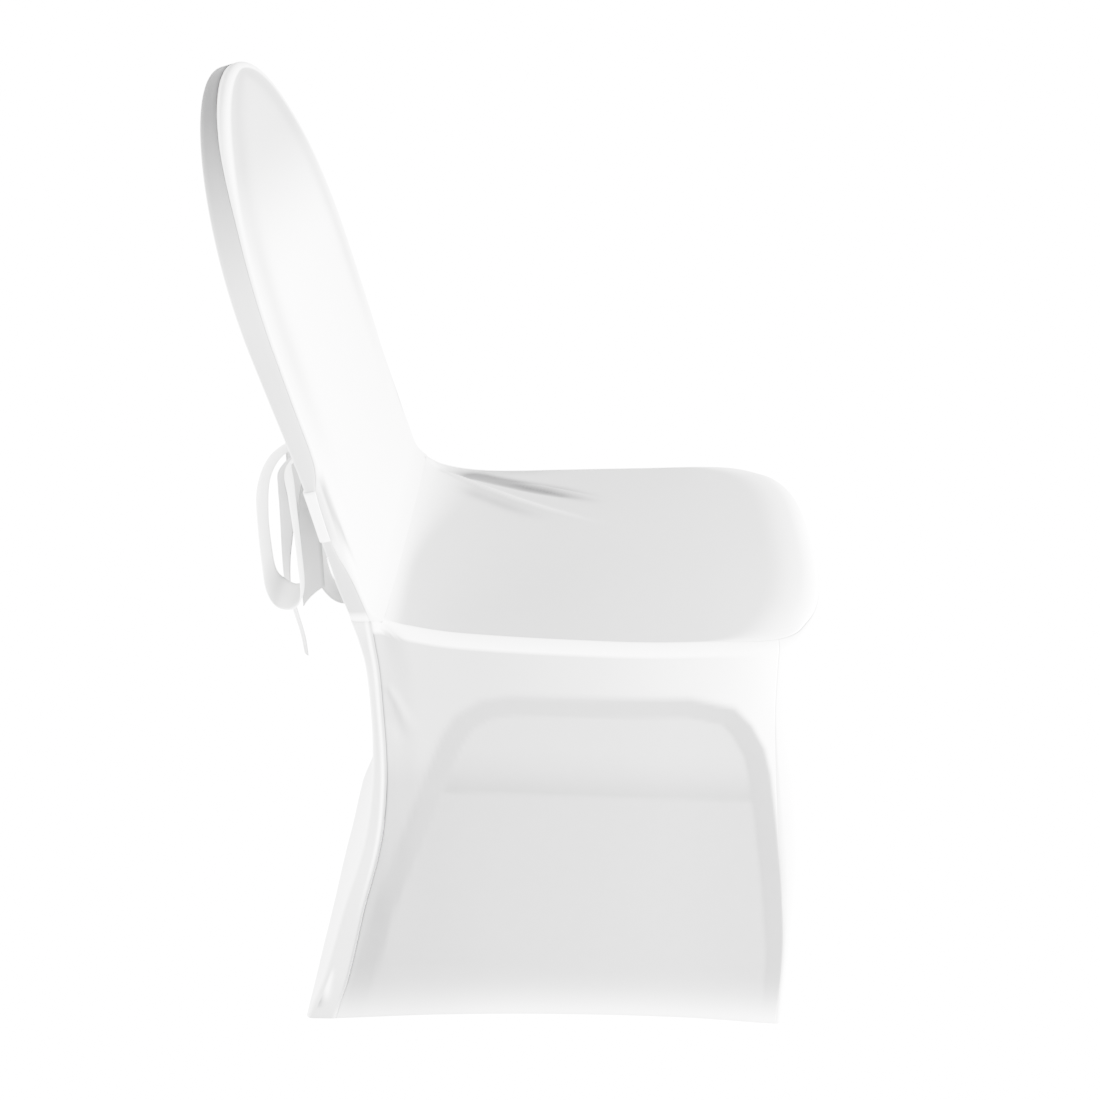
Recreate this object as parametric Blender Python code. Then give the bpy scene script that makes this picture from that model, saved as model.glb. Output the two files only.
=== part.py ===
"""Fitted stretch-knit cover for a round-topped banquet chair, in metres.

+X is the front of the seat, -Y the sitter's right-hand side, z = 0 the floor.
The cover stands open below, as it does when it is pulled over its chair.
"""
import math
from collections import namedtuple

import bmesh
import bpy
from mathutils import Vector

# Cloth
CLOTH = 0.0014
SEAM_GAP = 0.0005
EDGE_GAP = 0.0007
MERGE = 0.00001
BOX_MIDDLE_X = 0.1426
QUARTER = 0.5 * math.pi
FOLD_FADE_IN = 0.2
FOLD_FADE_OUT = 0.55

# Backrest: a leaning slab whose top is half an ellipse
LEAN = math.radians(15.2)
WAIST_Z = 0.4645
CROWN_START = 0.2655
CROWN_RISE = 0.2205
CROWN_HALF = 0.2105
CROWN_WALK = 1.25
WAIST_SHARE = CROWN_START / (CROWN_START + CROWN_RISE * CROWN_WALK)
OUTLINE_STEP = 0.004
FRONT_RADIUS_MOST = 0.006
SEAM_MARGIN = 0.0012
BACK_RADIUS = 0.006
BACKREST_SWELL = 0.004
SWELL_RISE = 0.12
SWELL_FALL = 0.3
FILLET_RISE = 0.020
FILLET_REACH = 0.0105
FILLET_AT_EDGE = 0.9
FOOT_OF_SLANT = 0.05
BACK_ROWS = 22
EDGE_COLUMNS = 4
INNER_COLUMNS = 11
OUTER_COLUMNS = 10
BACK_EDGE_COLUMNS = 5

# Seat and skirts
SEAT_BACK_X = 0.0109
CORNER_X = 0.330
FRONT_REACH = 0.1036
FRONT_SKEW = 0.028
SKEW_START = 0.965
SKEW_BLEND = 0.15
SEAT_POWER = 3.0
HEM_CORNER_X = 0.385
HEM_FRONT_REACH = 0.0225
HEM_POWER = 12.0
POWER_LEVEL = 0.9
BACK_CORNER_RADIUS = 0.006
FOOT_CORNER_RADIUS = 0.011
SIDE_FOLD_START = 0.014
SEAT_ROLL = 0.019
SEAT_DOME_POWER = 2.4
SHOULDER = 0.010
SIDE_SHOULDER_START = math.radians(12.0)
FRONT_SHOULDER_START = math.radians(58.0)
SHOULDER_ROWS = 4
FRONT_TOP_BLEND = 0.3
FRONT_SHOULDER_BLEND = 0.5
CORNER_X_BACK = -0.002
SHOULDER_BLEND = 0.032
HEM_LIFT = 0.0035
FOOT_Z = 0.0006
SEAT_COLUMNS = 26
SEAT_ROWS = 24
SEAT_CROWDING = 1.35
SIDE_COLUMNS = 18
SIDE_CROWDING = 1.45
FRONT_COLUMNS = 24
FRONT_CROWDING = 2.1
SKIRT_ROWS = 16
BACK_SKIRT_ROWS = SKIRT_ROWS - SHOULDER_ROWS
BACK_SKIRT_COLUMNS = 12

# Straps and bow
STRAP_WIDTH = 0.048
STRAP_CENTRE = 0.111
STRAP_END_WIDTH = 0.020
STRAP_END_LIFT = 0.0137
STRAP_END = 0.0145
STRAP_CLEARANCE = 0.0006
STRAP_GATHER_START = 0.45
STRAP_LIFT_START = 0.82
STRAP_PLEAT = 0.0016
STRAP_PLEATS = 3.0
STRAP_COLUMNS = 22
STRAP_EDGE_COLUMNS = 6
STRAP_ROWS = 4
KNOT_SIZE = (0.0115, 0.0150, 0.0135)
KNOT_OFF_BACK = 0.0150
KNOT_WAISTS = 3
KNOT_WAIST_DEPTH = 0.10
KNOT_SEGMENTS = 16
KNOT_RINGS = 10
LOOP_COLUMNS = 34
LOOP_CUP = 0.05
TAIL_COLUMNS = 14
TAIL_CUP = 0.06
RIBBON_ROWS = 3

Along = namedtuple("Along", "at value")
Fold = namedtuple("Fold", "route width height")
Ribbon = namedtuple("Ribbon", "x y z across_x across_y across_z width")

# Backrest, by height up its slant
BACK_HALF = (
    Along(0.000, 0.2135), Along(0.040, 0.2135), Along(0.085, 0.2105), Along(0.135, 0.2070),
    Along(0.175, 0.2080), Along(0.220, 0.2100), Along(0.2655, 0.2105),
)
BACK_DEPTH = (
    Along(0.000, 0.0225), Along(0.140, 0.0222), Along(0.210, 0.0235), Along(0.290, 0.0258),
    Along(0.350, 0.0266), Along(0.486, 0.0262),
)
EDGE_SEAM = (
    Along(0.000, 0.0035), Along(0.024, 0.0045), Along(0.044, 0.0060), Along(0.059, 0.0085),
    Along(0.070, 0.0110), Along(0.086, 0.0125), Along(0.134, 0.0112), Along(0.146, 0.0070),
    Along(0.162, 0.0040), Along(0.200, 0.0036), Along(0.340, 0.0036), Along(0.380, 0.0042),
    Along(0.440, 0.0080), Along(0.486, 0.0095),
)

# Seat edge, by distance forward of the backrest
SEAT_HALF = (
    Along(-0.020, 0.2135), Along(-0.002, 0.2135), Along(0.0105, 0.2075), Along(0.030, 0.2030),
    Along(0.060, 0.2030), Along(0.100, 0.2050), Along(0.170, 0.2112), Along(0.250, 0.2162),
    Along(0.330, 0.2167),
)
SEAT_EDGE_Z = (
    Along(-0.020, 0.4640), Along(-0.002, 0.4640), Along(0.0105, 0.4630), Along(0.027, 0.4565),
    Along(0.060, 0.4502), Along(0.100, 0.4476), Along(0.170, 0.4470), Along(0.260, 0.4474),
    Along(0.330, 0.4495), Along(0.440, 0.4490),
)
SEAT_MIDDLE_Z = (
    Along(0.0105, 0.4630), Along(0.100, 0.4618), Along(0.200, 0.4612), Along(0.330, 0.4612),
    Along(0.440, 0.4620),
)
HEM_HALF = (
    Along(-0.090, 0.2240), Along(-0.045, 0.2235), Along(0.050, 0.2185), Along(0.170, 0.2160),
    Along(0.300, 0.2175), Along(0.385, 0.2225),
)

# Upright seams between the skirts, by height
BACK_SEAM_X = (
    Along(0.000, -0.0620), Along(0.020, -0.0560), Along(0.051, -0.0459), Along(0.095, -0.0351),
    Along(0.139, -0.0250), Along(0.200, -0.0085), Along(0.240, -0.0005), Along(0.287, 0.0043),
    Along(0.326, 0.0054), Along(0.369, 0.0045), Along(0.414, 0.0029), Along(0.445, -0.0003),
    Along(0.464, -0.0023),
)
BACK_SKIRT_DEPTH = (
    Along(0.000, 0.0300), Along(0.100, 0.0240), Along(0.200, 0.0185), Along(0.300, 0.0145),
    Along(0.360, 0.0125), Along(0.414, 0.0132), Along(0.445, 0.0158), Along(0.464, 0.0192),
)
FRONT_SEAM_X = (
    Along(0.000, 0.3985), Along(0.096, 0.3995), Along(0.178, 0.3930), Along(0.250, 0.3850),
    Along(0.335, 0.3775), Along(0.380, 0.3745), Along(0.450, 0.3740),
)

# Folds on the seat, drawn from the far back corner towards the middle
SEAT_FOLDS = (
    Fold(((0.016, 0.196), (0.050, 0.156), (0.083, 0.121), (0.113, 0.090), (0.160, 0.058), (0.225, 0.024)),
         0.013, 0.0042),
    Fold(((0.105, 0.174), (0.135, 0.157), (0.165, 0.137), (0.196, 0.116), (0.229, 0.089)), 0.011, 0.0034),
    Fold(((0.033, 0.184), (0.099, 0.147), (0.156, 0.119), (0.212, 0.086)), 0.014, -0.0034),
)
# Folds on a side skirt, drawn from the back corner of the seat (forward, up)
SIDE_FOLDS = (
    Fold(((0.008, 0.452), (0.028, 0.418), (0.052, 0.386)), 0.014, 0.0030),
    Fold(((0.016, 0.414), (0.040, 0.372), (0.058, 0.345)), 0.013, -0.0026),
    Fold(((0.006, 0.392), (0.020, 0.345), (0.028, 0.300)), 0.012, 0.0022),
)
# Dip on the front of the backrest where each strap pulls its edge (sideways, up the slant)
STRAP_FOLD = Fold(((0.196, 0.040), (0.199, 0.075), (0.199, 0.110), (0.199, 0.150)), 0.013, -0.0022)

NEAR_LOOP = (
    Ribbon(-0.0724, -0.0107, 0.5657, -0.05, 0.30, -0.95, 0.007),
    Ribbon(-0.0950, -0.0260, 0.5690, 0.05, 0.80, -0.60, 0.026),
    Ribbon(-0.1150, -0.0440, 0.5600, 0.10, 0.92, -0.38, 0.038),
    Ribbon(-0.1255, -0.0600, 0.5370, 0.08, 0.98, -0.15, 0.045),
    Ribbon(-0.1285, -0.0620, 0.4980, 0.02, 1.00, -0.06, 0.046),
    Ribbon(-0.1280, -0.0620, 0.4620, 0.02, 1.00, -0.08, 0.046),
    Ribbon(-0.1255, -0.0620, 0.4330, 0.03, 1.00, 0.06, 0.046),
    Ribbon(-0.1165, -0.0620, 0.4180, 0.02, 0.98, 0.20, 0.047),
    Ribbon(-0.1025, -0.0620, 0.4140, -0.08, 0.98, 0.12, 0.047),
    Ribbon(-0.0950, -0.0620, 0.4250, -0.14, 0.99, -0.02, 0.047),
    Ribbon(-0.0955, -0.0620, 0.4660, -0.13, 0.99, -0.03, 0.046),
    Ribbon(-0.0970, -0.0610, 0.5030, -0.11, 0.99, -0.02, 0.044),
    Ribbon(-0.0990, -0.0570, 0.5300, -0.06, 1.00, 0.00, 0.040),
    Ribbon(-0.1025, -0.0440, 0.5510, 0.02, 1.00, -0.05, 0.030),
    Ribbon(-0.0890, -0.0270, 0.5560, 0.05, 0.70, -0.60, 0.016),
    Ribbon(-0.0733, -0.0113, 0.5575, -0.05, 0.40, -0.90, 0.007),
)
FAR_LOOP = (
    Ribbon(-0.0720, 0.0103, 0.5655, 0.10, -0.30, 0.95, 0.007),
    Ribbon(-0.0940, 0.0290, 0.5690, -0.10, -0.60, 0.80, 0.030),
    Ribbon(-0.1080, 0.0440, 0.5560, -0.30, -0.90, 0.30, 0.044),
    Ribbon(-0.1120, 0.0510, 0.5200, -0.30, -0.94, 0.10, 0.048),
    Ribbon(-0.1080, 0.0530, 0.4750, -0.25, -0.95, 0.05, 0.048),
    Ribbon(-0.1005, 0.0530, 0.4220, -0.18, -0.96, 0.08, 0.048),
    Ribbon(-0.0910, 0.0530, 0.3770, -0.08, -0.97, 0.16, 0.048),
    Ribbon(-0.0750, 0.0530, 0.3560, 0.00, -0.97, 0.20, 0.048),
    Ribbon(-0.0610, 0.0530, 0.3600, 0.00, -0.97, 0.18, 0.048),
    Ribbon(-0.0585, 0.0530, 0.3900, -0.06, -0.98, 0.10, 0.048),
    Ribbon(-0.0650, 0.0520, 0.4450, -0.12, -0.98, 0.04, 0.048),
    Ribbon(-0.0760, 0.0460, 0.5000, -0.14, -0.97, 0.05, 0.044),
    Ribbon(-0.0830, 0.0330, 0.5360, -0.10, -0.90, 0.35, 0.034),
    Ribbon(-0.0733, 0.0113, 0.5575, 0.05, -0.40, 0.90, 0.007),
)
NEAR_TAIL = (
    Ribbon(-0.0673, -0.0038, 0.5474, 0.80, 0.50, 0.10, 0.010),
    Ribbon(-0.0850, -0.0055, 0.5330, 0.50, 0.86, 0.04, 0.026),
    Ribbon(-0.0910, -0.0110, 0.5030, 0.36, 0.93, 0.04, 0.040),
    Ribbon(-0.0918, -0.0130, 0.4600, 0.34, 0.94, 0.00, 0.044),
    Ribbon(-0.0925, -0.0125, 0.4180, 0.34, 0.94, 0.00, 0.046),
    Ribbon(-0.0925, -0.0125, 0.3890, 0.34, 0.94, 0.05, 0.046),
)
FAR_TAIL = (
    Ribbon(-0.0719, 0.0030, 0.5505, 0.30, 0.95, 0.05, 0.010),
    Ribbon(-0.1020, 0.0045, 0.5420, -0.25, 0.97, 0.00, 0.018),
    Ribbon(-0.1195, 0.0045, 0.5240, -0.47, 0.88, -0.03, 0.020),
    Ribbon(-0.1205, 0.0040, 0.5050, -0.46, 0.87, -0.15, 0.033),
    Ribbon(-0.1190, 0.0040, 0.4850, -0.50, 0.85, -0.19, 0.039),
    Ribbon(-0.1195, 0.0040, 0.4600, -0.48, 0.85, -0.20, 0.042),
    Ribbon(-0.1225, 0.0040, 0.4280, -0.40, 0.90, -0.19, 0.040),
    Ribbon(-0.1230, 0.0045, 0.3950, -0.36, 0.92, -0.18, 0.037),
    Ribbon(-0.1175, 0.0045, 0.3660, -0.37, 0.91, -0.18, 0.033),
    Ribbon(-0.1110, 0.0030, 0.3360, -0.39, 0.90, -0.16, 0.024),
    Ribbon(-0.1080, 0.0005, 0.3120, -0.44, 0.89, -0.12, 0.014),
)

WHITE = (0.86, 0.86, 0.855, 1.0)
CLOTH_ROUGHNESS = 0.72


def read(table, at):
    """Smooth value of a table at a place along it."""
    rows = list(table)
    at = min(max(at, rows[0].at), rows[-1].at)
    last = next(i for i in range(1, len(rows)) if at <= rows[i].at)
    slopes = []
    for i in (last - 1, last):
        low = rows[max(i - 1, 0)]
        high = rows[min(i + 1, len(rows) - 1)]
        slopes.append((high.value - low.value) / (high.at - low.at))
    low, high = rows[last - 1], rows[last]
    span = high.at - low.at
    t = (at - low.at) / span
    bend = t * (1.0 - t) * span * ((1.0 - t) * slopes[0] - t * slopes[1])
    return mix(low.value, high.value, ease(t)) + bend


def mix(low, high, share):
    return low + (high - low) * share


def ease(share):
    share = min(max(share, 0.0), 1.0)
    return share * share * (3.0 - 2.0 * share)


def fold_height(folds, across, up):
    """How far the folds lift the cloth at a place on it."""
    lift = 0.0
    for fold in folds:
        nearest = None
        walked = 0.0
        lengths = [math.dist(a, b) for a, b in zip(fold.route, fold.route[1:])]
        total = sum(lengths)
        for (a, b), length in zip(zip(fold.route, fold.route[1:]), lengths):
            share = ((across - a[0]) * (b[0] - a[0]) + (up - a[1]) * (b[1] - a[1])) / length ** 2
            share = min(max(share, 0.0), 1.0)
            spot = (mix(a[0], b[0], share), mix(a[1], b[1], share))
            away = math.dist(spot, (across, up))
            if nearest is None or away < nearest[0]:
                nearest = (away, (walked + share * length) / total)
            walked += length
        away, along = nearest
        fade = ease(along / FOLD_FADE_IN) * ease((1.0 - along) / FOLD_FADE_OUT)
        lift += fold.height * fade * math.exp(-(away / fold.width) ** 2)
    return lift


def sheet(name, columns, rows, place, flip=False, side=-1.0):
    """Cloth panel: a grid moved to its places, then given its thickness on one side."""
    mesh = bpy.data.meshes.new(name)
    cloth = bmesh.new()
    bmesh.ops.create_grid(cloth, x_segments=columns, y_segments=rows, size=0.5)
    for vert in cloth.verts:
        column = round((vert.co.x + 0.5) * columns)
        row = round((vert.co.y + 0.5) * rows)
        x, y, z = place(column, row)
        vert.co = (x - BOX_MIDDLE_X, y, z)
    bmesh.ops.remove_doubles(cloth, verts=cloth.verts, dist=MERGE)
    if flip:
        bmesh.ops.reverse_faces(cloth, faces=cloth.faces)
    cloth.to_mesh(mesh)
    cloth.free()
    mesh.shade_smooth()
    panel = add_object(name, mesh)
    thicken = panel.modifiers.new("Thickness", "SOLIDIFY")
    thicken.thickness = CLOTH
    thicken.offset = side
    thicken.use_rim = True


def add_object(name, mesh):
    finish = bpy.data.materials.new(name)
    finish.use_nodes = True
    shader = finish.node_tree.nodes["Principled BSDF"]
    shader.inputs["Base Color"].default_value = WHITE
    shader.inputs["Roughness"].default_value = CLOTH_ROUGHNESS
    shader.inputs["Metallic"].default_value = 0.0
    mesh.materials.append(finish)
    piece = bpy.data.objects.new(name, mesh)
    bpy.context.collection.objects.link(piece)
    return piece


def from_edge(column, columns, edge_columns):
    """Which side's edge a column belongs to (0 for neither), and its steps in from that edge."""
    if column < edge_columns:
        return -1.0, column
    if column > columns - edge_columns:
        return 1.0, columns - column
    return 0.0, None


# Backrest

def outline(share):
    """Half width and slant height, from the waist (0) to the top of the crown (1)."""
    if share <= WAIST_SHARE:
        up = CROWN_START * share / WAIST_SHARE
        return read(BACK_HALF, up), up
    turn = QUARTER * (share - WAIST_SHARE) / (1.0 - WAIST_SHARE)
    return CROWN_HALF * math.cos(turn), CROWN_START + CROWN_RISE * math.sin(turn)


def inward(share):
    """Direction from the backrest's outline to its inside (across, up the slant)."""
    if share >= 1.0:
        return 0.0, -1.0
    half_a, up_a = outline(max(share - OUTLINE_STEP, 0.0))
    half_b, up_b = outline(min(share + OUTLINE_STEP, 1.0))
    length = math.hypot(half_b - half_a, up_b - up_a)
    return -(up_b - up_a) / length, (half_b - half_a) / length


def round_front(turn, up):
    """Inset and depth behind the front face, turning round the front edge as far as the seam lets it."""
    radius = min(read(EDGE_SEAM, up) - SEAM_MARGIN, FRONT_RADIUS_MOST)
    return radius * (1.0 - math.sin(turn)), radius * (1.0 - math.cos(turn))


def round_back(turn, depth):
    """The same round the back edge."""
    return BACK_RADIUS * (1.0 - math.cos(turn)), depth - BACK_RADIUS * (1.0 - math.sin(turn))


def on_backrest(across, up, behind):
    """World place from the slab's own directions, level along the waist seam."""
    x = -math.sin(LEAN) * up - math.cos(LEAN) * behind
    level = math.sin(LEAN) * behind * (1.0 - ease(up / FOOT_OF_SLANT))
    z = WAIST_Z + math.cos(LEAN) * up - math.sin(LEAN) * behind + level
    return x, across, z


def back_edge(share, profile, side):
    """A place on the backrest's edge from its inset and depth, and its height up the slant."""
    half, up = outline(share)
    in_across, in_up = inward(share)
    inset, behind = profile
    return side * (half + in_across * inset), up + in_up * inset, behind


def inner_back_place(column, row):
    share = row / BACK_ROWS
    height = outline(share)[1]
    side, step = from_edge(column, 2 * EDGE_COLUMNS + INNER_COLUMNS, EDGE_COLUMNS)
    if side:
        profile = round_front(QUARTER * (EDGE_COLUMNS - step) / (EDGE_COLUMNS - 1), height)
        if step == 0:
            profile = (0.0, read(EDGE_SEAM, height) - 0.5 * SEAM_GAP)
        across, up, behind = back_edge(share, profile, side)
        reach = FILLET_AT_EDGE * step / EDGE_COLUMNS
    else:
        edge, up, behind = back_edge(share, round_front(0.0, height), 1.0)
        place = (column - EDGE_COLUMNS) / INNER_COLUMNS
        across = edge * math.sin(math.pi * (place - 0.5))
        dip = fold_height((STRAP_FOLD,), abs(across), up)
        swell = BACKREST_SWELL * (1.0 - (across / max(edge, MERGE)) ** 2) * ease(up / SWELL_RISE)
        behind -= swell * ease((1.0 - share) / SWELL_FALL) + dip
        reach = mix(1.0, FILLET_AT_EDGE, ease(2.0 * abs(place - 0.5)))
    x, y, z = on_backrest(across, up, behind)
    fillet = max(1.0 - up / FILLET_RISE, 0.0) ** 2
    return x + FILLET_REACH * fillet * reach, y, z


def outer_back_place(column, row):
    share = row / BACK_ROWS
    height = outline(share)[1]
    depth = read(BACK_DEPTH, height)
    side, step = from_edge(column, 2 * BACK_EDGE_COLUMNS + OUTER_COLUMNS, BACK_EDGE_COLUMNS)
    if side:
        profile = round_back(QUARTER * (step - 1) / (BACK_EDGE_COLUMNS - 1), depth)
        if step == 0:
            profile = (0.0, read(EDGE_SEAM, height) + 0.5 * SEAM_GAP)
        across, up, behind = back_edge(share, profile, side)
    else:
        edge, up, behind = back_edge(share, round_back(QUARTER, depth), 1.0)
        across = edge * (2.0 * (column - BACK_EDGE_COLUMNS) / OUTER_COLUMNS - 1.0)
    return on_backrest(across, up, behind)


# Seat and skirts

def half_width(x, level, spread):
    """Half width of the seat (level 1) or of the hem (level 0), before the front corners."""
    return mix(read(HEM_HALF, x), read(SEAT_HALF, x) + spread, level)


def corner(level, spread):
    """Where the front corner starts, how far it reaches, and how square it is."""
    start = mix(HEM_CORNER_X, CORNER_X, level)
    reach = mix(HEM_FRONT_REACH, FRONT_REACH + spread, level)
    power = mix(HEM_POWER, SEAT_POWER, ease(level / POWER_LEVEL))
    return start, reach, power


def squared(share, power):
    """Quarter of a squared circle."""
    return (1.0 - min(share, 1.0) ** power) ** (1.0 / power)


def wall(x, level, spread):
    """Half width anywhere along a side, round the start of the front corner."""
    start, reach, power = corner(level, spread)
    if x <= start:
        return half_width(x, level, spread)
    return half_width(start, level, spread) * squared((x - start) / reach, power)


def front(share, level, spread):
    """How far forward the front stands, share -1 to 1 from right to left."""
    start, reach, power = corner(level, spread)
    turn = ease((SKEW_START - abs(share)) / SKEW_BLEND)
    skew = FRONT_SKEW * half_width(start, level, spread) * share * level * turn
    return start + reach * squared(abs(share), power) + skew


def skirt_row(row, top, hem, start):
    """Height, level and spread of one row of a skirt, whose top edge is rounded from a start angle."""
    turn = mix(start, QUARTER, min(row / SHOULDER_ROWS, 1.0))
    spread = SHOULDER * (math.sin(turn) - math.sin(start))
    drop = SHOULDER * (math.cos(start) - math.cos(turn))
    z = mix(top - drop, hem, max(row - SHOULDER_ROWS, 0) / (SKIRT_ROWS - SHOULDER_ROWS))
    return z, (z - hem) / (top - hem), spread + EDGE_GAP


def hem_height(share):
    """A hem is drawn up a little between its feet, share 0 to 1 along it."""
    return FOOT_Z + HEM_LIFT * math.sin(math.pi * min(max(share, 0.0), 1.0)) ** 0.5


def side_start(x):
    """Shoulder angle of a side skirt: upright at the back corner, rounded along the seat."""
    return mix(QUARTER, SIDE_SHOULDER_START, ease((x - CORNER_X_BACK) / SHOULDER_BLEND))


def side_place(column, row, side):
    share = 1.0 - (1.0 - column / SIDE_COLUMNS) ** SIDE_CROWDING
    top_x = mix(read(BACK_SEAM_X, WAIST_Z), read(FRONT_SEAM_X, WAIST_Z), share)
    z, level, spread = skirt_row(row, read(SEAT_EDGE_Z, top_x), hem_height(share), side_start(top_x))
    back = read(BACK_SEAM_X, z) + 0.5 * SEAM_GAP
    x = mix(back, read(FRONT_SEAM_X, z) - 0.5 * EDGE_GAP, share)
    folds = fold_height(SIDE_FOLDS, x, z) * ease((x - back) / SIDE_FOLD_START)
    return x, side * (wall(x, level, spread) + folds), z


def front_place(column, row):
    across = 2.0 * column / FRONT_COLUMNS - 1.0
    from_seam = (1.0 - abs(across)) ** FRONT_CROWDING
    top_side = read(SEAT_EDGE_Z, read(FRONT_SEAM_X, WAIST_Z))
    top_middle = read(SEAT_EDGE_Z, CORNER_X + FRONT_REACH)
    top = mix(top_side, top_middle, ease(from_seam / FRONT_TOP_BLEND))
    start = mix(SIDE_SHOULDER_START, FRONT_SHOULDER_START, ease(from_seam / FRONT_SHOULDER_BLEND))
    z, level, spread = skirt_row(row, top, hem_height(0.5 * from_seam), start)
    begin, reach, power = corner(level, spread)
    limit = squared((read(FRONT_SEAM_X, z) + 0.5 * EDGE_GAP - begin) / reach, power)
    share = math.copysign(1.0 - from_seam, across) * limit
    return front(share, level, spread), half_width(begin, level, spread) * share, z


def back_skirt_place(column, row):
    columns = 2 * BACK_EDGE_COLUMNS + BACK_SKIRT_COLUMNS
    side, step = from_edge(column, columns, BACK_EDGE_COLUMNS)
    middle = 2.0 * (column - BACK_EDGE_COLUMNS) / BACK_SKIRT_COLUMNS - 1.0
    top = WAIST_Z - SEAM_GAP
    hem = FOOT_Z if side else hem_height(0.5 * (1.0 - abs(middle)))
    z = mix(top, hem, row / BACK_SKIRT_ROWS)
    level = (z - hem) / (top - hem)
    seam = read(BACK_SEAM_X, z) - 0.5 * SEAM_GAP
    half = half_width(seam, level, EDGE_GAP)
    depth = read(BACK_SKIRT_DEPTH, z)
    radius = mix(FOOT_CORNER_RADIUS, BACK_CORNER_RADIUS, level)
    if step == 0:
        return seam, side * half, z
    if side:
        turn = QUARTER * (step - 1) / (BACK_EDGE_COLUMNS - 1)
        return seam - depth + radius * (1.0 - math.sin(turn)), side * (half - radius * (1.0 - math.cos(turn))), z
    return seam - depth, middle * (half - radius), z


def seat_place(column, row):
    across = math.sin(QUARTER * (2.0 * column / SEAT_COLUMNS - 1.0))
    limit = front(across, 1.0, 0.0)
    x = mix(SEAT_BACK_X, limit, 1.0 - (1.0 - row / SEAT_ROWS) ** SEAT_CROWDING)
    y = across * half_width(min(x, CORNER_X), 1.0, 0.0)
    edge = read(SEAT_EDGE_Z, x)
    dome = 1.0 - abs(across) ** SEAT_DOME_POWER
    roll = math.sqrt(1.0 - (1.0 - min((limit - x) / SEAT_ROLL, 1.0)) ** 2)
    lift = fold_height(SEAT_FOLDS, x, y)
    return x, y, edge + (read(SEAT_MIDDLE_Z, x) - edge) * dome * roll + lift * roll


# Straps and bow

def strap_place(column, row, side):
    """Strap from the edge seam, round the edge and over the back to the knot."""
    across_strap = row / STRAP_ROWS - 0.5
    gather = ease((column / STRAP_COLUMNS - STRAP_GATHER_START) / (1.0 - STRAP_GATHER_START))
    up = STRAP_CENTRE + across_strap * mix(STRAP_WIDTH, STRAP_END_WIDTH, gather)
    depth = read(BACK_DEPTH, up)
    if column <= STRAP_EDGE_COLUMNS:
        turn = QUARTER * max(column - 1, 0) / (STRAP_EDGE_COLUMNS - 1)
        profile = round_back(turn, depth)
        if column == 0:
            profile = (0.0, read(EDGE_SEAM, up) + SEAM_GAP)
        across, up, behind = back_edge(up / CROWN_START * WAIST_SHARE, profile, side)
        across += side * STRAP_CLEARANCE * math.cos(turn)
        behind += STRAP_CLEARANCE * math.sin(turn)
        return on_backrest(across, up, behind)
    run = (column - STRAP_EDGE_COLUMNS) / (STRAP_COLUMNS - STRAP_EDGE_COLUMNS)
    across = mix(read(BACK_HALF, up) - BACK_RADIUS, STRAP_END, run)
    lift = STRAP_END_LIFT * ease((run - STRAP_LIFT_START) / (1.0 - STRAP_LIFT_START))
    pleat = STRAP_PLEAT * gather * abs(math.sin(across_strap * STRAP_PLEATS * math.pi))
    return on_backrest(side * across, up, depth + STRAP_CLEARANCE + lift + pleat)


def along_ribbon(rows, share):
    """Centre, direction across and width of a ribbon, smoothly along its rows."""
    values = []
    for field in Ribbon._fields:
        table = [Along(i, getattr(row, field)) for i, row in enumerate(rows)]
        values.append(read(table, share * (len(rows) - 1)))
    return Vector(values[0:3]), Vector(values[3:6]).normalized(), values[6]


def ribbon(name, rows, columns, cup):
    """Strip of cloth, a little cupped across its width."""
    def place(column, row):
        share = column / columns
        step = 0.5 / columns
        centre, across, width = along_ribbon(rows, share)
        ahead = along_ribbon(rows, min(share + step, 1.0))[0]
        behind = along_ribbon(rows, max(share - step, 0.0))[0]
        normal = across.cross(ahead - behind).normalized()
        offset = row / RIBBON_ROWS - 0.5
        return centre + across * (width * offset) + normal * (cup * width * (1.0 - 4.0 * offset ** 2))
    sheet(name, columns, RIBBON_ROWS, place, side=0.0)


def knot(name):
    """Small wrapped knot, drawn in round its waist."""
    centre_x, centre_y, centre_z = on_backrest(0.0, STRAP_CENTRE, read(BACK_DEPTH, STRAP_CENTRE) + KNOT_OFF_BACK)
    lump = bmesh.new()
    bmesh.ops.create_uvsphere(lump, u_segments=KNOT_SEGMENTS, v_segments=KNOT_RINGS, radius=1.0)
    for vert in lump.verts:
        wave = 0.5 + 0.5 * math.cos(KNOT_WAISTS * math.atan2(vert.co.y, vert.co.x))
        groove = 1.0 - KNOT_WAIST_DEPTH * wave * (1.0 - vert.co.z ** 2)
        vert.co = (
            centre_x - BOX_MIDDLE_X + KNOT_SIZE[0] * vert.co.x * groove,
            centre_y + KNOT_SIZE[1] * vert.co.y * groove,
            centre_z + KNOT_SIZE[2] * vert.co.z,
        )
    mesh = bpy.data.meshes.new(name)
    lump.to_mesh(mesh)
    lump.free()
    mesh.shade_smooth()
    add_object(name, mesh)


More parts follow.
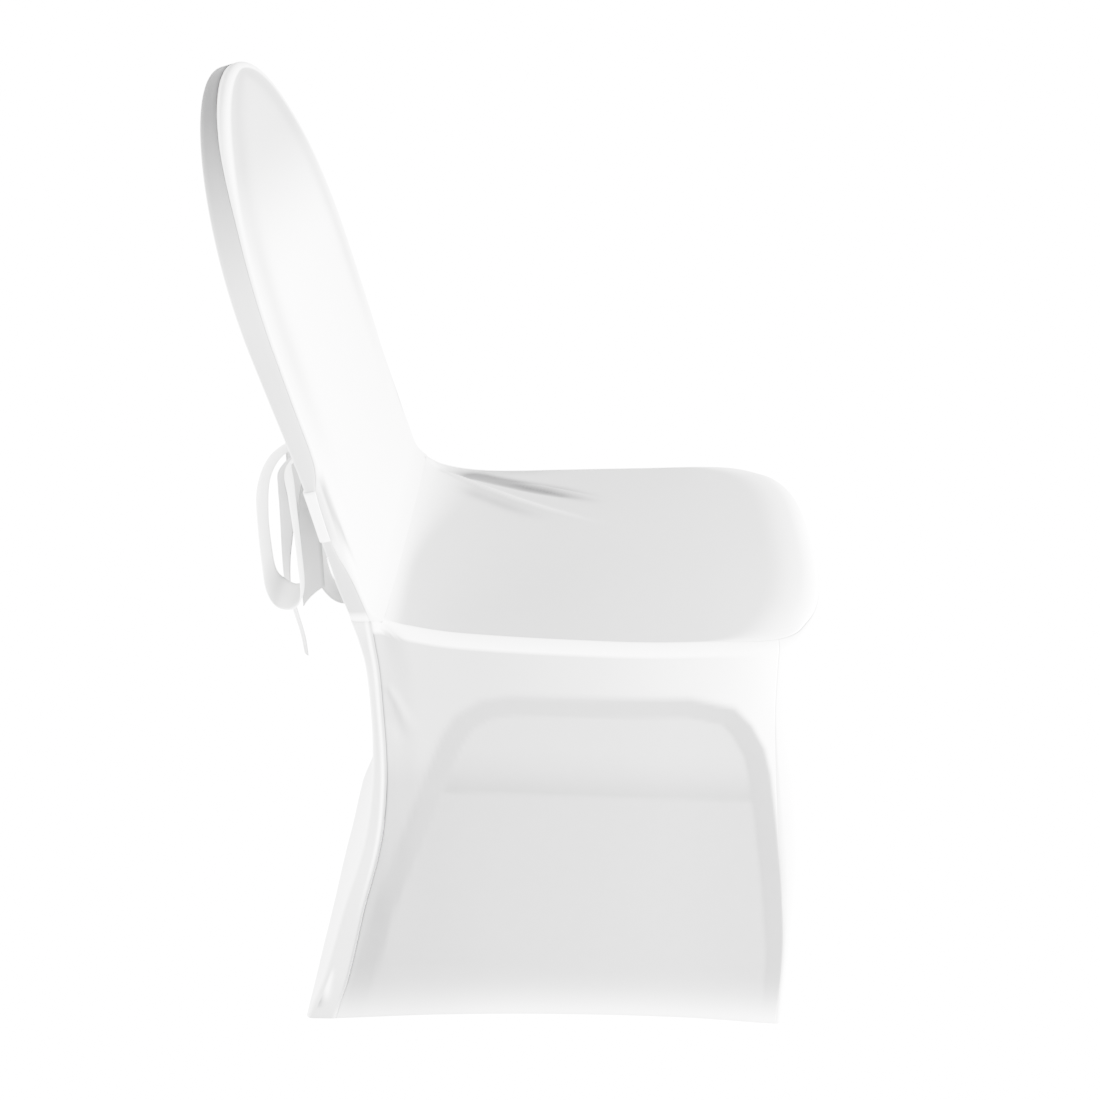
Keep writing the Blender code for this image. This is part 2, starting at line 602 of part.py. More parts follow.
def build():
    for old in list(bpy.data.objects):
        bpy.data.objects.remove(old)
    sheet("inner_back", 2 * EDGE_COLUMNS + INNER_COLUMNS, BACK_ROWS, inner_back_place)
    sheet("outer_back", 2 * BACK_EDGE_COLUMNS + OUTER_COLUMNS, BACK_ROWS, outer_back_place, flip=True)
    sheet("seat_top", SEAT_COLUMNS, SEAT_ROWS, seat_place, flip=True)
    sheet("side_skirt_right", SIDE_COLUMNS, SKIRT_ROWS, lambda i, j: side_place(i, j, -1.0), flip=True)
    sheet("side_skirt_left", SIDE_COLUMNS, SKIRT_ROWS, lambda i, j: side_place(i, j, 1.0))
    sheet("front_skirt", FRONT_COLUMNS, SKIRT_ROWS, front_place, flip=True)
    sheet("back_skirt", 2 * BACK_EDGE_COLUMNS + BACK_SKIRT_COLUMNS, BACK_SKIRT_ROWS, back_skirt_place)
    sheet("tie_right", STRAP_COLUMNS, STRAP_ROWS, lambda i, j: strap_place(i, j, -1.0), flip=True, side=1.0)
    sheet("tie_left", STRAP_COLUMNS, STRAP_ROWS, lambda i, j: strap_place(i, j, 1.0), side=1.0)
    knot("bow_knot")
    ribbon("bow_loop_right", NEAR_LOOP, LOOP_COLUMNS, LOOP_CUP)
    ribbon("bow_loop_left", FAR_LOOP, LOOP_COLUMNS, LOOP_CUP)
    ribbon("bow_tail_right", NEAR_TAIL, TAIL_COLUMNS, TAIL_CUP)
    ribbon("bow_tail_left", FAR_TAIL, TAIL_COLUMNS, TAIL_CUP)


build()
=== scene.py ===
import bisect
import math

import bmesh
import bpy
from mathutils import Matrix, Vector, noise


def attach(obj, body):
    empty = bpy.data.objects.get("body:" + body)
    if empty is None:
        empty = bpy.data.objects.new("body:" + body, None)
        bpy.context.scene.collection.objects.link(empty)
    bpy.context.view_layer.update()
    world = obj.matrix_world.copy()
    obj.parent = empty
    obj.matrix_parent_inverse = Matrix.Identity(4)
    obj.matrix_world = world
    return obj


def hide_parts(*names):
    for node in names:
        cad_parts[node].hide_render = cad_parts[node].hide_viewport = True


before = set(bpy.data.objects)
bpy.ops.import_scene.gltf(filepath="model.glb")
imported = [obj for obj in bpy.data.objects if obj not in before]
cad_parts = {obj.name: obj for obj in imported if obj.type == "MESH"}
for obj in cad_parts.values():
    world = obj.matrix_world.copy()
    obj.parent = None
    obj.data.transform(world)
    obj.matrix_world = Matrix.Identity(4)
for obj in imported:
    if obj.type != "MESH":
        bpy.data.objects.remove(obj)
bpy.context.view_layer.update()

# Places are measured from the crease between seat and back, on the floor: x forward, z up.
cover = {
    "middle": 0.1426,      # from there to the middle of the cover's box
    "cloth": 0.0011,       # thickness of the knit
    "seamGap": 0.0001,     # between two panels sewn together
    "edgeGap": 0.0002,     # between the seat and the skirts
    "seamSink": 0.0007,    # how far a sewn edge is drawn in
    "seamReach": 0.0030,   # and how far from the seam that shows
    "allowance": 0.0035,   # the turned-in edge inside a seam or hem
    "darkest": 1.2,        # the most that the shade attribute darkens the knit: the dark under it showing through, and painted shade
    "wave": 0.0005,        # the stretched cloth is not perfectly flat
    "ripple": 0.0002,
    "quarter": 0.5 * math.pi,
}


def mix(low, high, share):
    return low + (high - low) * share


def ease(share):
    share = min(max(share, 0.0), 1.0)
    return share * share * (3.0 - 2.0 * share)


def bell(away, width):   # 1 at the line, fading on both sides
    return math.exp(-(away / width) ** 2)


def curve(*points):   # smooth line through (place, value) pairs
    xs = [p[0] for p in points]
    ys = [p[1] for p in points]
    last = len(xs) - 1
    slopes = []
    for i in range(last + 1):
        low, high = max(i - 1, 0), min(i + 1, last)
        slopes.append((ys[high] - ys[low]) / (xs[high] - xs[low]))

    def at(x):
        x = min(max(x, xs[0]), xs[last])
        i = min(max(bisect.bisect_left(xs, x), 1), last)
        span = xs[i] - xs[i - 1]
        t = (x - xs[i - 1]) / span
        bend = t * (1.0 - t) * span * ((1.0 - t) * slopes[i - 1] - t * slopes[i])
        return mix(ys[i - 1], ys[i], ease(t)) + bend
    return at


def route(*points):   # broken line: nearest distance, share walked, and side of it
    lengths = [math.dist(a, b) for a, b in zip(points, points[1:])]
    total = sum(lengths)

    def near(across, up):
        best = (9.0, 0.0, 1.0)
        walked = 0.0
        for (a, b), length in zip(zip(points, points[1:]), lengths):
            dx, dy = b[0] - a[0], b[1] - a[1]
            share = ((across - a[0]) * dx + (up - a[1]) * dy) / length ** 2
            share = min(max(share, 0.0), 1.0)
            away = math.dist((a[0] + dx * share, a[1] + dy * share), (across, up))
            if away < best[0]:
                side = dx * (up - a[1]) - dy * (across - a[0])
                best = (away, (walked + share * length) / total, math.copysign(1.0, side))
            walked += length
        return best
    return near


# each fold: route, width at its start and end, height, painted shade (below zero a painted highlight),
# fade at start and end
def foldSet(*folds):
    def shape(across, up):
        lift = dark = 0.0
        for line, narrow, wide, high, shadow, fadeIn, fadeOut in folds:
            away, along, side = line(across, up)
            width = mix(narrow, wide, along)
            if away < 3.5 * width:
                strength = ease(along / fadeIn) * ease((1.0 - along) / fadeOut) * bell(away, width)
                lift += high * strength
                # painted shade in a fold's valley, or a painted highlight on its crest
                dark += shadow * strength
        return lift, dark
    return shape


# Knit

knit = {
    "white": (0.905, 0.905, 0.900, 1.0),
    "shadow": (0.20, 0.20, 0.20, 1.0),     # where the shade attribute leads: darkness under the stretched knit showing through, and painted shade
    "tieTint": 0.99,
    "roughness": 0.78,
    "specular": 0.25,
    "sheen": 0.25,
    "sheenSpread": 0.45,
    "mottle": 0.012,
    "mottleScale": 60.0,
    "wale": 0.0011,                        # width of one rib of the knit
    "rowsPerWale": 1.3,
    "rowShare": 0.45,                      # depth of the rows of loops, beside that of the ribs
    "wander": 0.6,
    "ribDepth": 0.00012,
    "ribStrength": 0.35,
}


def node(tree, kind, spot, **values):
    made = tree.nodes.new(kind)
    made.location = spot
    for name, value in values.items():
        setattr(made, name, value)
    return made


def knitMaterial(name, tint=1.0):
    finish = bpy.data.materials.new(name)
    finish.use_nodes = True
    tree = finish.node_tree
    shader = tree.nodes["Principled BSDF"]
    shader.inputs["Roughness"].default_value = knit["roughness"]
    shader.inputs["Sheen Weight"].default_value = knit["sheen"]
    shader.inputs["Sheen Roughness"].default_value = knit["sheenSpread"]
    shader.inputs["Specular IOR Level"].default_value = knit["specular"]
    link = tree.links.new
    uv = node(tree, "ShaderNodeUVMap", (-1300, -200), uv_map="cloth")
    shade = node(tree, "ShaderNodeAttribute", (-1000, 300), attribute_name="shade")
    mottle = node(tree, "ShaderNodeTexNoise", (-1000, 60))
    mottle.inputs["Scale"].default_value = knit["mottleScale"]
    mottle.inputs["Detail"].default_value = 3.0
    link(uv.outputs["UV"], mottle.inputs["Vector"])
    uneven = node(tree, "ShaderNodeMath", (-800, 60), operation="MULTIPLY_ADD")
    uneven.inputs[1].default_value = knit["mottle"] * 2.0
    uneven.inputs[2].default_value = -knit["mottle"]
    link(mottle.outputs["Fac"], uneven.inputs[0])
    # the shade attribute darkens the white knit: partly the dark under the sheer knit, partly painted
    # shade and highlight
    amount = node(tree, "ShaderNodeMath", (-600, 200), operation="ADD")
    link(shade.outputs["Fac"], amount.inputs[0])
    link(uneven.outputs[0], amount.inputs[1])
    colour = node(tree, "ShaderNodeMix", (-400, 200), data_type="RGBA", clamp_factor=False)
    colour.inputs["A"].default_value = tuple(c * tint for c in knit["white"][:3]) + (1.0,)
    colour.inputs["B"].default_value = knit["shadow"]
    link(amount.outputs[0], colour.inputs["Factor"])
    link(colour.outputs["Result"], shader.inputs["Base Color"])
    # fine upright ribs, each crossed by the rows of loops
    wales = node(tree, "ShaderNodeTexWave", (-1000, -160), bands_direction="X", wave_profile="SIN")
    wales.inputs["Scale"].default_value = 1.0 / (knit["wale"] * math.pi)
    wales.inputs["Distortion"].default_value = knit["wander"]
    wales.inputs["Detail Scale"].default_value = 3.0
    rows = node(tree, "ShaderNodeTexWave", (-1000, -420), bands_direction="Y", wave_profile="SIN")
    rows.inputs["Scale"].default_value = knit["rowsPerWale"] / (knit["wale"] * math.pi)
    link(uv.outputs["UV"], wales.inputs["Vector"])
    link(uv.outputs["UV"], rows.inputs["Vector"])
    loops = node(tree, "ShaderNodeMath", (-780, -260), operation="MULTIPLY_ADD")
    loops.inputs[1].default_value = knit["rowShare"]
    link(rows.outputs["Fac"], loops.inputs[0])
    link(wales.outputs["Fac"], loops.inputs[2])
    bump = node(tree, "ShaderNodeBump", (-300, -200))
    bump.inputs["Strength"].default_value = knit["ribStrength"]
    bump.inputs["Distance"].default_value = knit["ribDepth"]
    link(loops.outputs[0], bump.inputs["Height"])
    link(bump.outputs["Normal"], shader.inputs["Normal"])
    return finish


# Panels

# place(column, row) gives a spot, and how dark the knit is there
def clothPanel(name, columns, rows, place, size, finish, flip=False, offset=-1.0, turnedIn=True):
    cloth = bmesh.new()
    uvs = cloth.loops.layers.uv.new("cloth")
    shades = cloth.verts.layers.float.new("shade")
    bmesh.ops.create_grid(cloth, x_segments=columns, y_segments=rows, size=0.5)
    for face in cloth.faces:
        for loop in face.loops:
            spot = loop.vert.co
            loop[uvs].uv = ((spot.x + 0.5) * size[0], (spot.y + 0.5) * size[1])
    for vert in cloth.verts:
        column = round((vert.co.x + 0.5) * columns)
        row = round((vert.co.y + 0.5) * rows)
        (x, y, z), dark = place(column, row)
        vert.co = (x - cover["middle"], y, z)
        vert[shades] = min(dark, cover["darkest"])
    bmesh.ops.remove_doubles(cloth, verts=cloth.verts, dist=0.00001)
    if flip:
        bmesh.ops.reverse_faces(cloth, faces=cloth.faces)
    if turnedIn:
        cloth.normal_update()
        rim = [edge for edge in cloth.edges if edge.is_boundary]
        inner = bmesh.ops.extrude_edge_only(cloth, edges=rim)["geom"]
        moves = {}
        for vert in (item for item in inner if isinstance(item, bmesh.types.BMVert)):
            old = next(e.other_vert(vert) for e in vert.link_edges if e.other_vert(vert) not in inner)
            moves[vert] = old.normal * -cover["allowance"]
        for vert, move in moves.items():
            vert.co += move
    mesh = bpy.data.meshes.new(name)
    cloth.to_mesh(mesh)
    cloth.free()
    mesh.shade_smooth()
    mesh.materials.append(finish)
    panel = bpy.data.objects.new(name, mesh)
    bpy.context.collection.objects.link(panel)
    thicken = panel.modifiers.new("Thickness", "SOLIDIFY")
    thicken.thickness = cover["cloth"]
    thicken.offset = offset
    thicken.use_rim = True
    print(name, "made,", columns * rows, "cells")
    return panel


def dress(panel, nodeName):
    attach(panel, "root")
    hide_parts(nodeName)


def fromEdge(column, columns, edgeColumns):   # which side's edge, and steps in from it
    if column < edgeColumns:
        return -1.0, column
    if column > columns - edgeColumns:
        return 1.0, columns - column
    return 0.0, None


# Backrest: a leaning slab whose top is half an ellipse

back = {
    "lean": math.radians(15.2),
    "waist": 0.4645,
    "crownStart": 0.2655,
    "crownRise": 0.2205,
    "crownHalf": 0.2105,
    "crownWalk": 1.25,
    "frontRadius": 0.006,
    "seamMargin": 0.0012,
    "backRadius": 0.006,
    "swell": 0.004,
    "swellFoot": 0.12,
    "swellTop": 0.3,
    "fillet": (0.026, 0.0105, 0.9),    # rise, reach forward, and share of it at the edges
    "filletPower": 3.0,
    "levelFoot": 0.05,
    "rows": 150,
    "edgeColumns": 10,
    "frontColumns": 64,
    "backColumns": 56,
    "half": curve((0.000, 0.2135), (0.040, 0.2135), (0.085, 0.2105), (0.135, 0.2070),
                  (0.175, 0.2080), (0.220, 0.2100), (0.2655, 0.2105)),
    "depth": curve((0.000, 0.0225), (0.140, 0.0222), (0.210, 0.0235), (0.290, 0.0258),
                   (0.350, 0.0266), (0.486, 0.0262)),
    "seam": curve((0.000, 0.0035), (0.024, 0.0045), (0.044, 0.0060), (0.059, 0.0085), (0.070, 0.0110),
                  (0.086, 0.0125), (0.134, 0.0112), (0.146, 0.0070), (0.162, 0.0040), (0.200, 0.0036),
                  (0.340, 0.0036), (0.380, 0.0042), (0.440, 0.0080), (0.486, 0.0095)),
    # how dark the band is, by height up the slant: the chair's edge under the stretched knit, and
    # painted shade towards the crown, which turns away from the lamps
    "bandShade": curve((0.000, 0.84), (0.030, 0.82), (0.065, 0.79), (0.155, 0.76), (0.255, 0.76),
                       (0.313, 0.69), (0.365, 0.83), (0.418, 1.01), (0.453, 1.11), (0.486, 1.18)),
    "bandClear": (0.35, 0.003),        # share of it lost over the last of the rounding
    "behindShade": (0.4, 0.012, 0.03),     # behind: share of it at the edge, how far in, and the rest
    "crownShade": 0.78,                # painted shade: how dark the crown of the front is, where less light reaches the top
    "crownFrom": (0.300, 0.120),       # from this height, over this much
    "crownEdge": 0.012,
    "streak": (0.034, 0.024, 0.54),    # a soft grey line inside the edge: how far in, width, darkness
    "streakFrom": (0.10, 0.17),
    "streakFades": (0.31, 0.08, 0.28),     # from this height, over this much, to this share
    "waistBand": 0.0065,
    "waistFade": 0.0015,
}
back["waistShare"] = back["crownStart"] / (back["crownStart"] + back["crownRise"] * back["crownWalk"])
# the straps pull a crease into the front, beside the edge, with painted shade in it
strapFold = foldSet(
    (route((0.2035, 0.160), (0.2066, 0.132), (0.2074, 0.110), (0.2064, 0.082), (0.2030, 0.060),
           (0.1990, 0.048)),
     0.0032, 0.0046, -0.0008, 0.95, 0.25, 0.35),
    (route((0.1860, 0.150), (0.1820, 0.110), (0.1740, 0.060)), 0.010, 0.012, 0.0010, 0.0, 0.3, 0.4),
)


def outline(share):   # half width and slant height, waist 0 to crown 1
    if share <= back["waistShare"]:
        up = back["crownStart"] * share / back["waistShare"]
        return back["half"](up), up
    turn = cover["quarter"] * (share - back["waistShare"]) / (1.0 - back["waistShare"])
    return back["crownHalf"] * math.cos(turn), back["crownStart"] + back["crownRise"] * math.sin(turn)


def inward(share):
    if share >= 1.0:
        return 0.0, -1.0
    halfA, upA = outline(max(share - 0.004, 0.0))
    halfB, upB = outline(min(share + 0.004, 1.0))
    length = math.hypot(halfB - halfA, upB - upA)
    return -(upB - upA) / length, (halfB - halfA) / length


def onBackrest(across, up, behind):
    x = -math.sin(back["lean"]) * up - math.cos(back["lean"]) * behind
    level = math.sin(back["lean"]) * behind * (1.0 - ease(up / back["levelFoot"]))
    z = back["waist"] + math.cos(back["lean"]) * up - math.sin(back["lean"]) * behind + level
    return x, across, z


def backEdge(share, inset, behind, side):
    half, up = outline(share)
    inAcross, inUp = inward(share)
    return side * (half + inAcross * inset), up + inUp * inset, behind


def frontRound(turn, up):
    radius = min(back["seam"](up) - back["seamMargin"], back["frontRadius"])
    return radius * (1.0 - math.sin(turn)), radius * (1.0 - math.cos(turn))


def backRound(turn, depth):
    radius = back["backRadius"]
    return radius * (1.0 - math.cos(turn)), depth - radius * (1.0 - math.sin(turn))


def innerBackPlace(column, row):
    share = max(row - 1, 0) / (back["rows"] - 1) + (0.0005 if row else 0.0)
    share = min(share, 1.0)
    height = outline(share)[1]
    edges = back["edgeColumns"]
    side, step = fromEdge(column, 2 * edges + back["frontColumns"], edges)
    rise, reachForward, atEdge = back["fillet"]
    shade = 0.0
    if side:
        if step == 0:
            inset, behind = cover["seamSink"], back["seam"](height) - 0.5 * cover["seamGap"]
        else:
            inset, behind = frontRound(cover["quarter"] * (edges - step) / (edges - 1), height)
        across, up, behind = backEdge(share, inset, behind, side)
        # the strap's crease carries its painted shade onto the rounding
        shade = strapFold(abs(across), up)[1] * ease(step / 3.0)
        reach = atEdge * step / edges
    else:
        edge, up, behind = backEdge(share, *frontRound(0.0, height), 1.0)
        spot = (column - edges) / back["frontColumns"]
        across = edge * math.sin(math.pi * (spot - 0.5))
        swell = back["swell"] * (1.0 - (across / max(edge, 0.00001)) ** 2) * ease(up / back["swellFoot"])
        lift, shade = strapFold(abs(across), up)
        behind -= swell * ease((1.0 - share) / back["swellTop"]) + lift
        reach = mix(1.0, atEdge, ease(2.0 * abs(spot - 0.5)))
        start, span = back["crownFrom"]
        inside, width, grey = back["streak"]
        fromRim = edge - abs(across)
        # painted shade darkens the crown, fading out towards the rim
        shade += back["crownShade"] * ease((up - start) / span) * ease(fromRim / back["crownEdge"])
        low, rising = back["streakFrom"]
        high, fading, kept = back["streakFades"]
        grey *= ease((up - low) / rising) * mix(1.0, kept, ease((up - high) / fading))
        shade += grey * bell(fromRim - inside, width)
    x, y, z = onBackrest(across, up, behind)
    fillet = max(1.0 - up / rise, 0.0) ** back["filletPower"]
    return (x + reachForward * fillet * reach, y, z), shade


def outerBackPlace(column, row):
    share = row / back["rows"]
    height = outline(share)[1]
    depth = back["depth"](height)
    edges = back["edgeColumns"]
    side, step = fromEdge(column, 2 * edges + back["backColumns"], edges)
    # the band's shade: the chair's edge under the knit, with painted shade towards the crown
    band = back["bandShade"](height)
    if side:
        if step == 0:
            inset, behind = cover["seamSink"], back["seam"](height) + 0.5 * cover["seamGap"]
        elif step < 4:
            low, high = back["seam"](height) + 0.0016, depth - back["backRadius"]
            inset, behind = 0.0, mix(low, high, (step - 1) / 3.0)
        else:
            inset, behind = backRound(cover["quarter"] * (step - 4) / (edges - 4), depth)
        across, up, behind = backEdge(share, inset, behind, side)
        lost, reach = back["bandClear"]
        shade = band * (1.0 - lost * ease((behind - depth + reach) / reach))
    else:
        edge, up, behind = backEdge(share, *backRound(cover["quarter"], depth), 1.0)
        across = edge * (2.0 * (column - edges) / back["backColumns"] - 1.0)
        fromRim = edge - abs(across)
        edgeShare, reach, rest = back["behindShade"]
        shade = edgeShare * band * bell(fromRim, reach) + rest
    return onBackrest(across, up, behind), shade * ease((height - back["waistBand"]) / back["waistFade"])


# Seat and skirts

seat = {
    "tuck": 0.0001,        # how far the back edge runs under the backrest's foot
    "rise": (0.0015, 0.016),    # how far it turns up there, and from where
    "cornerX": 0.330,
    "frontReach": 0.1036,
    "skew": 0.028,
    "skewStart": 0.965,
    "skewBlend": 0.15,
    "power": 3.0,
    "roll": 0.019,
    "domePower": 2.4,
    "columns": 184,
    "rows": 136,
    "crowding": 1.35,
    "half": curve((-0.020, 0.2135), (-0.002, 0.2135), (0.0105, 0.2075), (0.030, 0.2030), (0.060, 0.2030),
                  (0.100, 0.2050), (0.170, 0.2112), (0.250, 0.2162), (0.330, 0.2167)),
    "edgeZ": curve((-0.020, 0.4640), (-0.002, 0.4640), (0.0105, 0.4630), (0.027, 0.4565),
                   (0.060, 0.4502), (0.100, 0.4476), (0.170, 0.4470), (0.260, 0.4474),
                   (0.330, 0.4495), (0.440, 0.4490)),
    "middleZ": curve((0.0105, 0.4630), (0.100, 0.4618), (0.200, 0.4612), (0.330, 0.4612),
                     (0.440, 0.4620)),
    # how dark the seat top is along it: the seat under the stretched knit, and painted shade as the top
    # faces away from the front light
    "shade": curve((0.000, 0.80), (0.150, 0.84), (0.250, 0.80), (0.380, 0.75)),
    # painted light given back by the backrest: how far the seat's shade stays cleared, at the near and
    # the far end of the crease with the backrest
    "paintedCreaseLight": (0.018, 0.070),
    "creaseTurn": (0.10, 0.25),
    "clearPower": 0.6,
    # painted light: the seat's shade clears towards the front edge, where it rolls over to face the
    # front light
    "frontClear": (0.008, 0.048),
    "foldEdge": 0.012,
}
seatFolds = foldSet(
    # the crease pulled from the far back corner, a thin crest with a deep valley beyond it, with a
    # painted highlight on the crest and painted shade in the valleys
    (route((0.002, 0.205), (0.026, 0.190), (0.080, 0.130), (0.121, 0.088), (0.158, 0.058),
           (0.198, 0.031), (0.233, 0.014)),
     0.0022, 0.0042, 0.0034, -0.45, 0.04, 0.50),
    (route((0.014, 0.197), (0.045, 0.184), (0.077, 0.168), (0.130, 0.131), (0.176, 0.104),
           (0.227, 0.075)),
     0.0120, 0.0110, -0.0046, 0.57, 0.08, 0.45),
    (route((0.035, 0.195), (0.080, 0.180), (0.130, 0.150), (0.176, 0.124), (0.227, 0.090)),
     0.0060, 0.0060, -0.0010, 0.30, 0.2, 0.35),
    (route((0.102, 0.160), (0.144, 0.138), (0.184, 0.112), (0.227, 0.084)),
     0.0040, 0.0040, 0.0026, -0.22, 0.4, 0.5),
    (route((0.035, 0.145), (0.085, 0.092), (0.125, 0.054), (0.169, 0.022)),
     0.0120, 0.0120, -0.0014, 0.22, 0.30, 0.45),
    # painted shade alone, along the far edge
    (route((0.040, 0.197), (0.090, 0.200), (0.190, 0.206)), 0.0160, 0.0160, 0.0, 0.20, 0.25, 0.5),
)

skirt = {
    "cornerX": 0.385,
    "frontReach": 0.0225,
    "power": 12.0,
    "powerLevel": 0.9,
    "shoulder": 0.010,
    "shoulderRows": 9,
    "sideStart": math.radians(12.0),
    "frontStart": math.radians(58.0),
    "backX": -0.002,
    "shoulderBlend": 0.032,
    "hemLift": 0.0035,
    "footZ": 0.0006,
    "hemDepth": 0.024,
    "hemThick": 0.0004,
    "hemFade": 0.002,
    "hemGroove": (0.003, 0.0016, 0.0003),      # how far below the fold's edge, width, depth
    "rows": 112,
    "sideColumns": 114,
    "sideCrowding": 1.25,
    "seamColumns": 9,          # closely spaced beside the back seam
    "seamShare": 0.0175,
    "frontColumns": 120,
    "frontCrowding": 1.5,
    "backColumns": 96,
    "backEdges": 20,
    "backShade": curve((0.000, 0.76), (0.040, 0.68), (0.120, 0.68), (0.200, 0.63), (0.300, 0.68),
                       (0.360, 0.67), (0.400, 0.60), (0.440, 0.66), (0.464, 0.50)),
    "backRadius": 0.0045,
    "footRadius": 0.006,
    "half": curve((-0.090, 0.2240), (-0.045, 0.2235), (0.050, 0.2185), (0.170, 0.2160), (0.300, 0.2175),
                  (0.385, 0.2225)),
    "backSeamX": curve((0.000, -0.0620), (0.020, -0.0560), (0.051, -0.0459), (0.095, -0.0351),
                       (0.139, -0.0250), (0.200, -0.0085), (0.240, -0.0005), (0.287, 0.0043),
                       (0.326, 0.0054), (0.369, 0.0045), (0.414, 0.0029), (0.445, -0.0003),
                       (0.464, -0.0023)),
    "backDepth": curve((0.000, 0.0300), (0.100, 0.0240), (0.200, 0.0185), (0.300, 0.0145),
                       (0.360, 0.0125), (0.414, 0.0132), (0.445, 0.0158), (0.464, 0.0192)),
    "frontSeamX": curve((0.000, 0.3985), (0.096, 0.3995), (0.178, 0.3930), (0.250, 0.3850),
                        (0.335, 0.3775), (0.380, 0.3745), (0.450, 0.3740)),
}
# creases down from the back corner of each side panel, with a painted highlight on the crests and
# painted shade in the valley
sideFolds = foldSet(
    (route((0.008, 0.400), (0.0137, 0.391), (0.021, 0.376), (0.029, 0.359), (0.036, 0.343)),
     0.0028, 0.0055, 0.0014, -0.16, 0.25, 0.45),
    (route((0.0045, 0.398), (0.0067, 0.394), (0.0152, 0.371), (0.0227, 0.348), (0.029, 0.330)),
     0.0025, 0.0045, -0.0010, 0.10, 0.15, 0.45),
    (route((0.004, 0.455), (0.016, 0.425), (0.033, 0.395), (0.045, 0.370)),
     0.0090, 0.0160, -0.0010, 0.0, 0.2, 0.5),
    (route((0.006, 0.362), (0.012, 0.345), (0.018, 0.325)), 0.0040, 0.0060, 0.0008, -0.08, 0.3, 0.5),
)
# small upright puckers at each back foot, with painted shade in the hollows and a painted highlight on
# the ridge
footFolds = foldSet(
    (route((-0.0580, 0.100), (-0.0640, 0.080), (-0.0680, 0.062)),
     0.0020, 0.0026, -0.0016, 0.90, 0.3, 0.4),
    (route((-0.0610, 0.070), (-0.0640, 0.056), (-0.0680, 0.040), (-0.0700, 0.020)),
     0.0024, 0.0034, 0.0020, -0.70, 0.3, 0.4),
    (route((-0.0720, 0.060), (-0.0760, 0.040), (-0.0790, 0.012)),
     0.0024, 0.0038, -0.0014, 0.45, 0.3, 0.2),
)
# the bowed frame of the legs prints through the stretched side panels; outside the tube the panel is
# also painted lighter towards the front, a painted light where the front light grazes it
arch = {
    "edge": route((-0.0560, -0.003), (-0.0517, 0.0124), (-0.0387, 0.0591), (-0.0135, 0.1491),
                  (0.0149, 0.2229), (0.0369, 0.2821), (0.0581, 0.3392), (0.0731, 0.3640),
                  (0.0972, 0.3818), (0.1256, 0.3880), (0.2103, 0.3903), (0.2946, 0.3930),
                  (0.3373, 0.3830), (0.3542, 0.3640), (0.3680, 0.3376), (0.3754, 0.3096),
                  (0.3848, 0.2520), (0.3953, 0.1802), (0.4047, 0.0991), (0.4060, -0.0050)),
    "tubeWidth": 0.022,
    # how dark: over the tube by share of its length, inside it and behind it by place along the seat
    "tube": curve((0.00, 1.06), (0.14, 1.08), (0.21, 1.04), (0.30, 1.00), (0.36, 0.98), (0.42, 0.96),
                  (0.50, 0.96), (0.58, 0.98), (0.68, 1.04), (0.77, 1.06), (1.00, 1.06)),
    "inside": curve((0.00, 1.00), (0.06, 0.98), (0.10, 0.96), (0.21, 0.945), (0.30, 0.945),
                    (0.40, 0.985)),
    # outside the tube the shade fades towards the front: partly painted light, where the front light
    # grazes the panel
    "outside": curve((-0.060, 0.89), (0.005, 0.88), (0.020, 0.80), (0.045, 0.80), (0.100, 0.80),
                     (0.170, 0.72), (0.210, 0.66), (0.270, 0.50), (0.330, 0.27), (0.365, 0.00)),
    "lowOutside": (0.33, 0.05, 0.12),      # the strip behind the legs is darker below this height
    "lowReach": (0.1, 0.05),
    "frontClear": (0.67, 0.08),            # in front of the legs the knit is clear
    "farHem": curve((0.270, 0.07), (0.281, 0.07), (0.290, 0.04), (0.300, 0.00), (0.315, -0.05),
                    (0.330, -0.08)),
    "farHemEdge": (0.2765, 0.003),
    "sharp": 0.0035,
    "soft": 0.0055,                        # the print's edge is softer along the top
    "innerSoft": 0.005,
    "topFrom": (0.30, 0.08),
    "topTo": (0.66, 0.06),
    "relief": 0.0005,
    # how far it fades towards the hem, at the back and then at the front
    "clearNear": curve((0.000, 0.42), (0.008, 0.52), (0.015, 0.64), (0.025, 0.78), (0.035, 0.88),
                       (0.050, 0.96), (0.070, 1.0)),
    "clearFar": curve((0.000, 0.22), (0.008, 0.32), (0.015, 0.46), (0.022, 0.62), (0.030, 0.76),
                      (0.040, 0.88), (0.055, 0.97), (0.070, 1.0)),
    "clearSpan": 0.15,
}


# the padded roll under the seat's edge, kept clear of shade as a painted highlight
welt = {
    "height": 0.0012,
    "drop": 0.0060,
    "width": 0.0045,
    "clear": 0.0105,
    "fade": 0.003,
}
# the ridge beside the seam at each back corner
piping = {
    "from": 0.0042,
    "width": 0.0016,
    "height": 0.0007,
    "starts": (0.10, 0.15),    # from this height, over this much
    "dim": (0.0030, 0.0015),   # beside the seam the knit is as dark as the side panel
    "grooveWidth": 0.0012,
    "depth": 0.0004,
    "dark": 0.30,
}


def halfWidth(x, level, spread):
    return mix(skirt["half"](x), seat["half"](x) + spread, level)


def frontCorner(level, spread):
    start = mix(skirt["cornerX"], seat["cornerX"], level)
    reach = mix(skirt["frontReach"], seat["frontReach"] + spread, level)
    power = mix(skirt["power"], seat["power"], ease(level / skirt["powerLevel"]))
    return start, reach, power


def squared(share, power):
    return (1.0 - min(share, 1.0) ** power) ** (1.0 / power)


def wall(x, level, spread):
    start, reach, power = frontCorner(level, spread)
    if x <= start:
        return halfWidth(x, level, spread)
    return halfWidth(start, level, spread) * squared((x - start) / reach, power)


